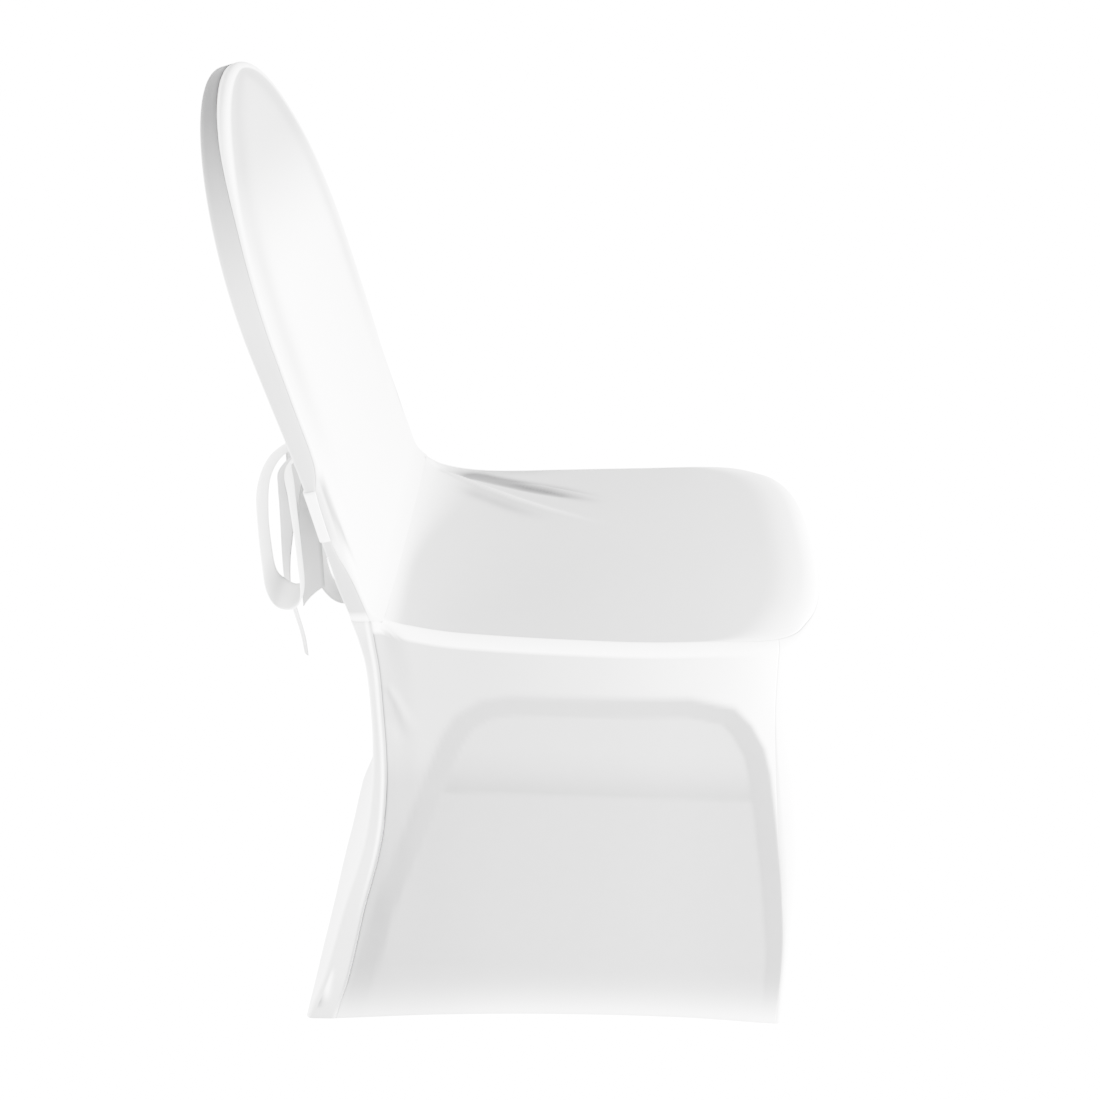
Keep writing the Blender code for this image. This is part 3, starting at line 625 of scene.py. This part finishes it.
def frontX(share, level, spread):
    start, reach, power = frontCorner(level, spread)
    turn = ease((seat["skewStart"] - abs(share)) / seat["skewBlend"])
    skew = seat["skew"] * halfWidth(start, level, spread) * share * level * turn
    return start + reach * squared(abs(share), power) + skew


def skirtRow(row, top, hem, start):
    turn = mix(start, cover["quarter"], min(row / skirt["shoulderRows"], 1.0))
    spread = skirt["shoulder"] * (math.sin(turn) - math.sin(start))
    drop = skirt["shoulder"] * (math.cos(start) - math.cos(turn))
    share = max(row - skirt["shoulderRows"], 0) / (skirt["rows"] - skirt["shoulderRows"])
    z = mix(top - drop, hem, share)
    return z, (z - hem) / (top - hem), spread + cover["edgeGap"]


def hemHeight(share):
    return skirt["footZ"] + skirt["hemLift"] * math.sin(math.pi * min(max(share, 0.0), 1.0)) ** 0.5


def hemSwell(aboveHem):   # the folded hem stands a little proud and ends in a stitched groove
    below, width, deep = skirt["hemGroove"]
    fold = skirt["hemThick"] * ease((skirt["hemDepth"] - aboveHem) / skirt["hemFade"] + 0.5)
    return fold - deep * bell(aboveHem - skirt["hemDepth"] + below, width)


def seamDip(away):
    return cover["seamSink"] * bell(away, 0.6 * cover["seamReach"])


def uneven(x, z, seed):
    wave = cover["wave"] * noise.noise((x * 11.0 + seed, z * 7.0, seed))
    return wave + cover["ripple"] * noise.noise((x * 30.0, z * 22.0, seed + 5.0))


def sheerAndPaintedLight(x, z):   # how dark the side panel looks, and how much of it lies over the tube
    away, along, side = arch["edge"](x, z)
    inside = -side * away
    begin, rising = arch["topFrom"]
    end, falling = arch["topTo"]
    atTop = ease((along - begin) / rising) * ease((end - along) / falling)
    edge = mix(arch["sharp"], arch["soft"], atTop)
    within = ease(inside / edge * 0.5 + 0.5)
    past = ease((inside - arch["tubeWidth"]) / arch["innerSoft"] + 0.5)
    outer = arch["outside"](x)
    start, span, dark = arch["lowOutside"]
    limit, fading = arch["lowReach"]
    outer += dark * ease((start - z) / span) * ease((limit - x) / fading)
    limit, fading = arch["frontClear"]
    outer *= ease((limit - along) / fading)
    edge, soft = arch["farHemEdge"]
    inner = arch["inside"](x)
    inner += arch["farHem"](z) * ease((z - edge) / soft)
    shade = mix(outer, mix(arch["tube"](along), inner, past), within)
    clear = mix(arch["clearNear"](z), arch["clearFar"](z), ease(x / arch["clearSpan"]))
    return shade * clear, within * (1.0 - past)


def sideShare(column):
    close, span = skirt["seamColumns"], skirt["seamShare"]
    if column < close:
        return span * column / close
    left = 1.0 - (column - close) / (skirt["sideColumns"] - close)
    return mix(span, 1.0, 1.0 - left ** skirt["sideCrowding"])


def sidePlace(column, row, side):
    share = sideShare(column)
    topX = mix(skirt["backSeamX"](back["waist"]), skirt["frontSeamX"](back["waist"]), share)
    turned = ease((topX - skirt["backX"]) / skirt["shoulderBlend"])
    start = mix(cover["quarter"], skirt["sideStart"], turned)
    hem = hemHeight(share)
    edge = seat["edgeZ"](topX)
    z, level, spread = skirtRow(row, edge, hem, start)
    backX = skirt["backSeamX"](z) + 0.5 * cover["seamGap"]
    foreX = skirt["frontSeamX"](z) - 0.5 * cover["edgeGap"]
    x = mix(backX, foreX, share)
    dark, tube = sheerAndPaintedLight(x, z)
    lift, foldPaintedShade = sideFolds(x, z)
    dark += foldPaintedShade
    out = wall(x, level, spread)
    calm = ease((z - hem) / 0.05) * ease((0.40 - z) / 0.05)
    out += lift * ease((x - backX) / 0.010) + hemSwell(z - hem)
    out += (arch["relief"] * tube + uneven(x, z, 2.0 + side)) * calm
    out += welt["height"] * bell(edge - z - welt["drop"], welt["width"]) * ease((x - backX) / 0.02)
    # painted highlight: the roll under the seat's edge is kept clear of shade
    dark *= ease((edge - z - welt["clear"]) / welt["fade"])
    groove = bell(x - backX, piping["grooveWidth"])
    return (x, side * (out - piping["depth"] * groove), z), dark + piping["dark"] * groove


def frontPlace(column, row):
    across = 2.0 * column / skirt["frontColumns"] - 1.0
    fromSeam = (1.0 - abs(across)) ** skirt["frontCrowding"]
    topSide = seat["edgeZ"](skirt["frontSeamX"](back["waist"]))
    top = mix(topSide, seat["edgeZ"](seat["cornerX"] + seat["frontReach"]), ease(fromSeam / 0.3))
    start = mix(skirt["sideStart"], skirt["frontStart"], ease(fromSeam / 0.5))
    hem = hemHeight(0.5 * fromSeam)
    z, level, spread = skirtRow(row, top, hem, start)
    begin, reach, power = frontCorner(level, spread)
    limit = squared((skirt["frontSeamX"](z) + 0.5 * cover["edgeGap"] - begin) / reach, power)
    share = math.copysign(1.0 - fromSeam, across) * limit
    half = halfWidth(begin, level, spread)
    x, y = frontX(share, level, spread), half * share
    wave = uneven(y, z, 9.0) * ease(fromSeam / 0.1) * ease((z - hem) / 0.05)
    out = hemSwell(z - hem) + wave * ease((0.42 - z) / 0.05)
    out += welt["height"] * bell(top - z - welt["drop"], welt["width"])
    square = ease((abs(share) - 0.8) / 0.19)
    x += out * (1.0 - square)
    y += math.copysign(out * square, share)
    return (x, y, z), 0.0


def backSkirtPlace(column, row):
    edges = skirt["backEdges"]
    side, step = fromEdge(column, 2 * edges + skirt["backColumns"], edges)
    middle = 2.0 * (column - edges) / skirt["backColumns"] - 1.0
    top = back["waist"] - cover["seamGap"]
    hem = skirt["footZ"] if side else hemHeight(0.5 * (1.0 - abs(middle)))
    z = mix(top, hem, row / skirt["rows"])
    level = (z - hem) / (top - hem)
    seam = skirt["backSeamX"](z) - 0.5 * cover["seamGap"]
    half = halfWidth(seam, level, cover["edgeGap"])
    depth = skirt["backDepth"](z)
    radius = mix(skirt["footRadius"], skirt["backRadius"], level)
    swell = hemSwell(z - hem)
    if side:
        flatSteps = edges // 2 + 2
        dark = skirt["backShade"](z)
        if step < flatSteps:
            run = (depth - radius) * step / flatSteps
            begin, span = piping["starts"]
            ridge = bell(run - piping["from"], piping["width"]) * ease((z - begin) / span)
            groove = bell(run, piping["grooveWidth"])
            lift, foldPaintedShade = footFolds(seam - run, z)
            out = half + swell + piping["height"] * ridge - piping["depth"] * groove + lift
            reach, fade = piping["dim"]
            dark = mix(dark + foldPaintedShade, sheerAndPaintedLight(seam, z)[0], ease((reach - run) / fade))
            return (seam - run, side * out, z), mix(dark, 0.0, ridge)
        turn = cover["quarter"] * (step - flatSteps) / (edges - flatSteps)
        x = seam - depth + radius * (1.0 - math.sin(turn)) - swell * math.sin(turn)
        y = half - radius * (1.0 - math.cos(turn)) + swell * math.cos(turn)
        # painted light: the shade fades round the corner, where it turns away from the lamps
        return (x, side * y, z), dark * math.cos(turn) ** 2
    x = seam - depth - swell + uneven(middle * half, z, 17.0) * ease((1.0 - abs(middle)) / 0.1)
    return (x, middle * (half - radius), z), 0.04


def seatPlace(column, row):
    across = math.sin(cover["quarter"] * (2.0 * column / seat["columns"] - 1.0))
    limit = frontX(across, 1.0, 0.0)
    reachForward, atEdge = back["fillet"][1:]
    toEdge = abs(2.0 * column / seat["columns"] - 1.0)
    backX = reachForward * mix(1.0, atEdge, ease(toEdge)) - seat["tuck"]
    share = max(row - 1, 0) / (seat["rows"] - 1)
    start = backX + (0.0004 if row else 0.0)
    x = mix(start, limit, 1.0 - (1.0 - share) ** seat["crowding"])
    half = halfWidth(min(x, seat["cornerX"]), 1.0, 0.0)
    y = across * half
    edge = seat["edgeZ"](x)
    dome = 1.0 - abs(across) ** seat["domePower"]
    inFromEdge = min(max((limit - x) / seat["roll"], 0.0), 1.0)
    roll = math.sqrt(1.0 - (1.0 - inFromEdge) ** 2)
    lift, dark = seatFolds(x, abs(y)) if y > 0.0 else (0.0, 0.0)
    folds = lift * roll * ease((half - abs(y)) / seat["foldEdge"])
    z = edge + (seat["middleZ"](x) - edge) * dome * roll + folds
    z -= 0.5 * seamDip(half - abs(y))
    turnUp, turnSpan = seat["rise"]
    z += turnUp * max(1.0 - (x - backX) / turnSpan, 0.0) ** 2
    # painted light: the shade clears beside the backrest and towards the front edge
    near, far = seat["paintedCreaseLight"]
    begin, span = seat["creaseTurn"]
    clear = ease((x - backX) / mix(near, far, ease((y + begin) / span))) ** seat["clearPower"]
    begin, span = seat["frontClear"]
    clear *= ease((limit - x - begin) / span)
    return (x, y, z), (seat["shade"](x) + dark) * clear


# Straps and bow

strap = {
    "width": 0.048,
    "centre": 0.111,
    "endWidth": 0.020,
    "endLift": 0.0137,
    "end": 0.0145,
    "clearance": 0.0006,
    "shade": 0.02,
    "gatherStart": 0.45,
    "liftStart": 0.82,
    "pleat": 0.0020,
    "pleats": 3.0,
    "seamColumns": 5,
    "edgeColumns": 14,
    "columns": 76,
    "rows": 16,
}


def strapPlace(column, row, side):
    acrossStrap = row / strap["rows"] - 0.5
    gather = ease((column / strap["columns"] - strap["gatherStart"]) / (1.0 - strap["gatherStart"]))
    up = strap["centre"] + acrossStrap * mix(strap["width"], strap["endWidth"], gather)
    depth = back["depth"](up)
    if column <= strap["edgeColumns"]:
        flat = strap["seamColumns"]
        turn = cover["quarter"] * max(column - flat, 0) / (strap["edgeColumns"] - flat)
        inset, behind = backRound(turn, depth)
        if column < flat:
            behind = mix(back["seam"](up) + cover["seamGap"], behind, column / flat)
        across, up, behind = backEdge(up / back["crownStart"] * back["waistShare"], inset, behind, side)
        across += side * strap["clearance"] * math.cos(turn)
        behind += strap["clearance"] * math.sin(turn)
        return onBackrest(across, up, behind), strap["shade"]
    run = (column - strap["edgeColumns"]) / (strap["columns"] - strap["edgeColumns"])
    across = mix(back["half"](up) - back["backRadius"], strap["end"], run)
    lift = strap["endLift"] * ease((run - strap["liftStart"]) / (1.0 - strap["liftStart"]))
    pleat = strap["pleat"] * gather * abs(math.sin(acrossStrap * strap["pleats"] * math.pi))
    return onBackrest(side * across, up, depth + strap["clearance"] + lift + pleat), strap["shade"]


# Each ribbon: centre (x, y, z), direction across it (x, y, z), width
nearLoop = (
    (-0.0724, -0.0107, 0.5657, -0.05, 0.30, -0.95, 0.007),
    (-0.0950, -0.0260, 0.5690, 0.05, 0.80, -0.60, 0.026),
    (-0.1150, -0.0440, 0.5600, 0.10, 0.92, -0.38, 0.038),
    (-0.1255, -0.0600, 0.5370, 0.08, 0.98, -0.15, 0.045),
    (-0.1285, -0.0620, 0.4980, 0.02, 1.00, -0.06, 0.046),
    (-0.1280, -0.0620, 0.4620, 0.02, 1.00, -0.08, 0.046),
    (-0.1255, -0.0620, 0.4330, 0.03, 1.00, 0.06, 0.046),
    (-0.1165, -0.0620, 0.4180, 0.02, 0.98, 0.20, 0.047),
    (-0.1025, -0.0620, 0.4140, -0.08, 0.98, 0.12, 0.047),
    (-0.0950, -0.0620, 0.4250, -0.14, 0.99, -0.02, 0.047),
    (-0.0955, -0.0620, 0.4660, -0.13, 0.99, -0.03, 0.046),
    (-0.0970, -0.0610, 0.5030, -0.11, 0.99, -0.02, 0.044),
    (-0.0990, -0.0570, 0.5300, -0.06, 1.00, 0.00, 0.040),
    (-0.1025, -0.0440, 0.5510, 0.02, 1.00, -0.05, 0.030),
    (-0.0890, -0.0270, 0.5560, 0.05, 0.70, -0.60, 0.016),
    (-0.0733, -0.0113, 0.5575, -0.05, 0.40, -0.90, 0.007),
)
farLoop = (
    (-0.0720, 0.0103, 0.5655, 0.10, -0.30, 0.95, 0.007),
    (-0.0940, 0.0290, 0.5690, -0.10, -0.60, 0.80, 0.030),
    (-0.1080, 0.0440, 0.5560, -0.30, -0.90, 0.30, 0.044),
    (-0.1120, 0.0510, 0.5200, -0.30, -0.94, 0.10, 0.048),
    (-0.1080, 0.0530, 0.4750, -0.25, -0.95, 0.05, 0.048),
    (-0.1005, 0.0530, 0.4220, -0.18, -0.96, 0.08, 0.048),
    (-0.0910, 0.0530, 0.3770, -0.08, -0.97, 0.16, 0.048),
    (-0.0750, 0.0530, 0.3560, 0.00, -0.97, 0.20, 0.048),
    (-0.0580, 0.0530, 0.3600, 0.12, -0.97, 0.18, 0.048),
    (-0.0520, 0.0530, 0.3900, 0.18, -0.98, 0.10, 0.048),
    (-0.0590, 0.0520, 0.4450, 0.12, -0.98, 0.04, 0.048),
    (-0.0760, 0.0460, 0.5000, -0.14, -0.97, 0.05, 0.044),
    (-0.0830, 0.0330, 0.5360, -0.10, -0.90, 0.35, 0.034),
    (-0.0733, 0.0113, 0.5575, 0.05, -0.40, 0.90, 0.007),
)
nearTail = (
    (-0.0673, -0.0038, 0.5474, 0.80, 0.50, 0.10, 0.010),
    (-0.0850, -0.0055, 0.5330, 0.50, 0.86, 0.04, 0.026),
    (-0.0910, -0.0110, 0.5030, 0.36, 0.93, 0.04, 0.040),
    (-0.0918, -0.0130, 0.4600, 0.34, 0.94, 0.00, 0.044),
    (-0.0925, -0.0125, 0.4180, 0.34, 0.94, 0.00, 0.046),
    (-0.0925, -0.0125, 0.3890, 0.34, 0.94, 0.05, 0.046),
)
farTail = (
    (-0.0719, 0.0030, 0.5505, 0.30, 0.95, 0.05, 0.010),
    (-0.1020, 0.0045, 0.5420, -0.25, 0.97, 0.00, 0.018),
    (-0.1195, 0.0045, 0.5240, -0.47, 0.88, -0.03, 0.020),
    (-0.1205, 0.0040, 0.5050, -0.46, 0.87, -0.15, 0.033),
    (-0.1190, 0.0040, 0.4850, -0.50, 0.85, -0.19, 0.039),
    (-0.1195, 0.0040, 0.4600, -0.48, 0.85, -0.20, 0.042),
    (-0.1225, 0.0040, 0.4280, -0.40, 0.90, -0.19, 0.040),
    (-0.1230, 0.0045, 0.3950, -0.36, 0.92, -0.18, 0.037),
    (-0.1175, 0.0045, 0.3660, -0.37, 0.91, -0.18, 0.033),
    (-0.1110, 0.0030, 0.3360, -0.39, 0.90, -0.16, 0.024),
    (-0.1080, 0.0005, 0.3120, -0.44, 0.89, -0.12, 0.014),
)
ribbonLook = {
    "rows": 14,
    "pleat": 0.0011,     # height of the gathers near the knot
    "pleats": 2.5,
    "gatherReach": 0.16,
    "edgePaintedShade": 0.30,    # painted shade along one edge, where the turned hem falls in shadow, from this far across
    "edgeFrom": (0.40, 0.08),
}
# painted shade along each ribbon, from one end to the other: the tails and the loops' hollows in the
# backrest's shadow, lighter where a loop's bottom catches the light
ribbonPaintedShade = {
    "nearLoop": curve((0.00, 0.10), (0.20, 0.00), (0.34, 0.00), (0.40, 0.42), (0.45, 0.62),
                      (0.50, 0.08), (0.55, 0.00), (1.00, 0.00)),
    "farLoop": curve((0.00, 0.50), (0.30, 0.45), (0.50, 0.58), (1.00, 0.55)),
    "nearTail": curve((0.00, 1.05), (0.40, 1.07), (0.70, 0.95), (1.00, 0.92)),
    "farTail": curve((0.00, 0.30), (0.18, 0.95), (0.45, 1.02), (0.65, 0.95), (0.75, 0.50),
                     (0.90, 0.62), (1.00, 0.80)),
}


def ribbonPlace(rows, columns, cup, bothEnds, shade):
    fields = [curve(*[(i, row[k]) for i, row in enumerate(rows)]) for k in range(7)]
    last = len(rows) - 1

    def centre(share):
        return Vector([fields[k](share * last) for k in range(3)])

    def place(column, row):
        share = column / columns
        across = Vector([fields[k](share * last) for k in range(3, 6)]).normalized()
        width = fields[6](share * last)
        ahead = centre(min(share + 0.5 / columns, 1.0)) - centre(max(share - 0.5 / columns, 0.0))
        normal = across.cross(ahead).normalized()
        offset = row / ribbonLook["rows"] - 0.5
        fromKnot = min(share, 1.0 - share) if bothEnds else share
        gather = ease(1.0 - fromKnot / ribbonLook["gatherReach"]) * ease(fromKnot / 0.03)
        lift = cup * width * (1.0 - 4.0 * offset ** 2)
        lift += ribbonLook["pleat"] * gather * math.sin(ribbonLook["pleats"] * 2.0 * math.pi * offset)
        begin, span = ribbonLook["edgeFrom"]
        # painted shade along the ribbon and along its far edge
        dark = shade(share) + ribbonLook["edgePaintedShade"] * ease((offset - begin) / span)
        return centre(share) + across * (width * offset) + normal * lift, dark
    return place


# Knot

knotLook = {
    "size": (0.0115, 0.0150, 0.0135),
    "offBack": 0.0150,
    "waists": 3,
    "waistDepth": 0.10,
    "wrap": 0.035,
    # painted shade in the sunken turns of the wraps
    "wrapShade": 0.10,
}


def makeKnot(name, finish):
    cx, cy, cz = onBackrest(0.0, strap["centre"], back["depth"](strap["centre"]) + knotLook["offBack"])
    lump = bmesh.new()
    shades = lump.verts.layers.float.new("shade")
    uvs = lump.loops.layers.uv.new("cloth")
    bmesh.ops.create_uvsphere(lump, u_segments=96, v_segments=60, radius=1.0)
    for vert in lump.verts:
        x, y, z = vert.co
        wave = 0.5 + 0.5 * math.cos(knotLook["waists"] * math.atan2(y, x))
        groove = 1.0 - knotLook["waistDepth"] * wave * (1.0 - z ** 2)
        twist = math.sin(9.0 * z + 2.5 * y + 1.2 * x)
        wrap = knotLook["wrap"] * twist * (1.0 - z ** 2)
        # painted shade where the wrap sinks in
        vert[shades] = knotLook["wrapShade"] * (0.5 - 0.5 * twist)
        scale = groove + wrap - 0.03
        sx, sy, sz = knotLook["size"]
        vert.co = (cx - cover["middle"] + sx * x * scale, cy + sy * y * scale,
                   cz + sz * z * (1.0 + 0.3 * wrap))
    for face in lump.faces:
        for loop in face.loops:
            loop[uvs].uv = (loop.vert.co.y, loop.vert.co.z)
    mesh = bpy.data.meshes.new(name)
    lump.to_mesh(mesh)
    lump.free()
    mesh.shade_smooth()
    mesh.materials.append(finish)
    knotPiece = bpy.data.objects.new(name, mesh)
    bpy.context.collection.objects.link(knotPiece)
    print(name, "made")
    return knotPiece


# Dressing

mainKnit = knitMaterial("stretchKnit")
tieKnit = knitMaterial("tieKnit", knit["tieTint"])

innerBack = clothPanel("innerBackCloth", 2 * back["edgeColumns"] + back["frontColumns"], back["rows"],
                       innerBackPlace, (0.44, 0.50), mainKnit)
dress(innerBack, "inner_back")
outerBack = clothPanel("outerBackCloth", 2 * back["edgeColumns"] + back["backColumns"], back["rows"],
                       outerBackPlace, (0.47, 0.51), mainKnit, flip=True)
dress(outerBack, "outer_back")
seatTop = clothPanel("seatCloth", seat["columns"], seat["rows"], seatPlace, (0.44, 0.43), mainKnit,
                     flip=True)
dress(seatTop, "seat_top")
rightSkirt = clothPanel("rightSideCloth", skirt["sideColumns"], skirt["rows"],
                        lambda i, j: sidePlace(i, j, -1.0), (0.46, 0.46), mainKnit, flip=True)
dress(rightSkirt, "side_skirt_right")
leftSkirt = clothPanel("leftSideCloth", skirt["sideColumns"], skirt["rows"],
                       lambda i, j: sidePlace(i, j, 1.0), (0.46, 0.46), mainKnit)
dress(leftSkirt, "side_skirt_left")
frontSkirt = clothPanel("frontCloth", skirt["frontColumns"], skirt["rows"], frontPlace, (0.54, 0.46),
                        mainKnit, flip=True)
dress(frontSkirt, "front_skirt")
backSkirt = clothPanel("backSkirtCloth", 2 * skirt["backEdges"] + skirt["backColumns"], skirt["rows"],
                       backSkirtPlace, (0.50, 0.46), mainKnit)
dress(backSkirt, "back_skirt")

for name, nodeName, side in (("rightTie", "tie_right", -1.0), ("leftTie", "tie_left", 1.0)):
    tie = clothPanel(name, strap["columns"], strap["rows"], lambda i, j: strapPlace(i, j, side),
                     (0.24, 0.048), tieKnit, flip=side < 0.0, offset=1.0, turnedIn=False)
    dress(tie, nodeName)
knotPiece = makeKnot("bowKnot", tieKnit)
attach(knotPiece, "root")
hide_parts("bow_knot")
for name, nodeName, rows, columns, cup, ends, flat in (
        ("nearLoop", "bow_loop_right", nearLoop, 130, 0.05, True, (0.048, 0.40)),
        ("farLoop", "bow_loop_left", farLoop, 150, 0.05, True, (0.048, 0.47)),
        ("nearTail", "bow_tail_right", nearTail, 50, 0.06, False, (0.046, 0.16)),
        ("farTail", "bow_tail_left", farTail, 70, 0.06, False, (0.042, 0.25))):
    place = ribbonPlace(rows, columns, cup, ends, ribbonPaintedShade[name])
    band = clothPanel(name, columns, ribbonLook["rows"], place, (flat[1], flat[0]), tieKnit,
                      offset=0.0, turnedIn=False)
    dress(band, nodeName)

# Studio

studio = {
    "floor": (0.85, 0.85, 0.85, 1.0),
    "floorHalf": 15.0,
    "floorGlow": 3.0,      # light that the pale floor gives back
    "floorSeen": 15.0,     # and how bright it looks
    "world": 2.0,
    # each lamp: where it stands, what it points at, its size and power
    "key": ((1.35, -0.45, 0.80), (0.0, 0.0, 0.45), 0.9, 300.0),
    "fill": ((0.70, -2.45, 0.75), (0.0, 0.0, 0.40), 1.6, 150.0),
    "rim": ((-2.00, -0.60, 0.80), (-0.20, 0.0, 0.45), 1.0, 190.0),     # from behind, on the left
}


def areaLight(name, spot, target, size, power):
    light = bpy.data.lights.new(name, "AREA")
    light.shape = "SQUARE"
    light.size = size
    light.energy = power
    lamp = bpy.data.objects.new(name, light)
    lamp.location = spot
    lamp.rotation_euler = (Vector(spot) - Vector(target)).to_track_quat("Z", "Y").to_euler()
    bpy.context.collection.objects.link(lamp)


floorMesh = bmesh.new()
bmesh.ops.create_grid(floorMesh, x_segments=1, y_segments=1, size=studio["floorHalf"])
floorData = bpy.data.meshes.new("studioFloor")
floorMesh.to_mesh(floorData)
floorMesh.free()
floor = bpy.data.objects.new("studioFloor", floorData)
bpy.context.collection.objects.link(floor)
floorFinish = bpy.data.materials.new("paleFloor")
floorFinish.use_nodes = True
floorShader = floorFinish.node_tree.nodes["Principled BSDF"]
floorShader.inputs["Base Color"].default_value = studio["floor"]
floorShader.inputs["Roughness"].default_value = 0.9
floorShader.inputs["Emission Color"].default_value = (1.0, 1.0, 1.0, 1.0)
seen = node(floorFinish.node_tree, "ShaderNodeLightPath", (-600, -200))
glow = node(floorFinish.node_tree, "ShaderNodeMapRange", (-300, -200))
glow.inputs["To Min"].default_value = studio["floorGlow"]
glow.inputs["To Max"].default_value = studio["floorSeen"]
floorFinish.node_tree.links.new(seen.outputs["Is Camera Ray"], glow.inputs["Value"])
floorFinish.node_tree.links.new(glow.outputs["Result"], floorShader.inputs["Emission Strength"])
floorData.materials.append(floorFinish)

world = bpy.data.worlds.new("studio")
bpy.context.scene.world = world
world.use_nodes = True
world.node_tree.nodes["Background"].inputs["Color"].default_value = (1.0, 1.0, 1.0, 1.0)
world.node_tree.nodes["Background"].inputs["Strength"].default_value = studio["world"]
for name in ("key", "fill", "rim"):
    areaLight(name + "Light", *studio[name])

camera = {
    "spot": (0.188 - cover["middle"], -1.4364, 1.1064),
    "down": math.radians(24.8878),
    "turn": math.radians(1.1624),
    "lens": 49.04,
}
cameraData = bpy.data.cameras.new("camera")
cameraData.sensor_width = 36.0
cameraData.lens = camera["lens"]
cameraObject = bpy.data.objects.new("camera", cameraData)
cameraObject.location = camera["spot"]
cameraObject.rotation_euler = (math.radians(90.0) - camera["down"], 0.0, camera["turn"])
bpy.context.collection.objects.link(cameraObject)
bpy.context.scene.camera = cameraObject
print("studio and camera made")
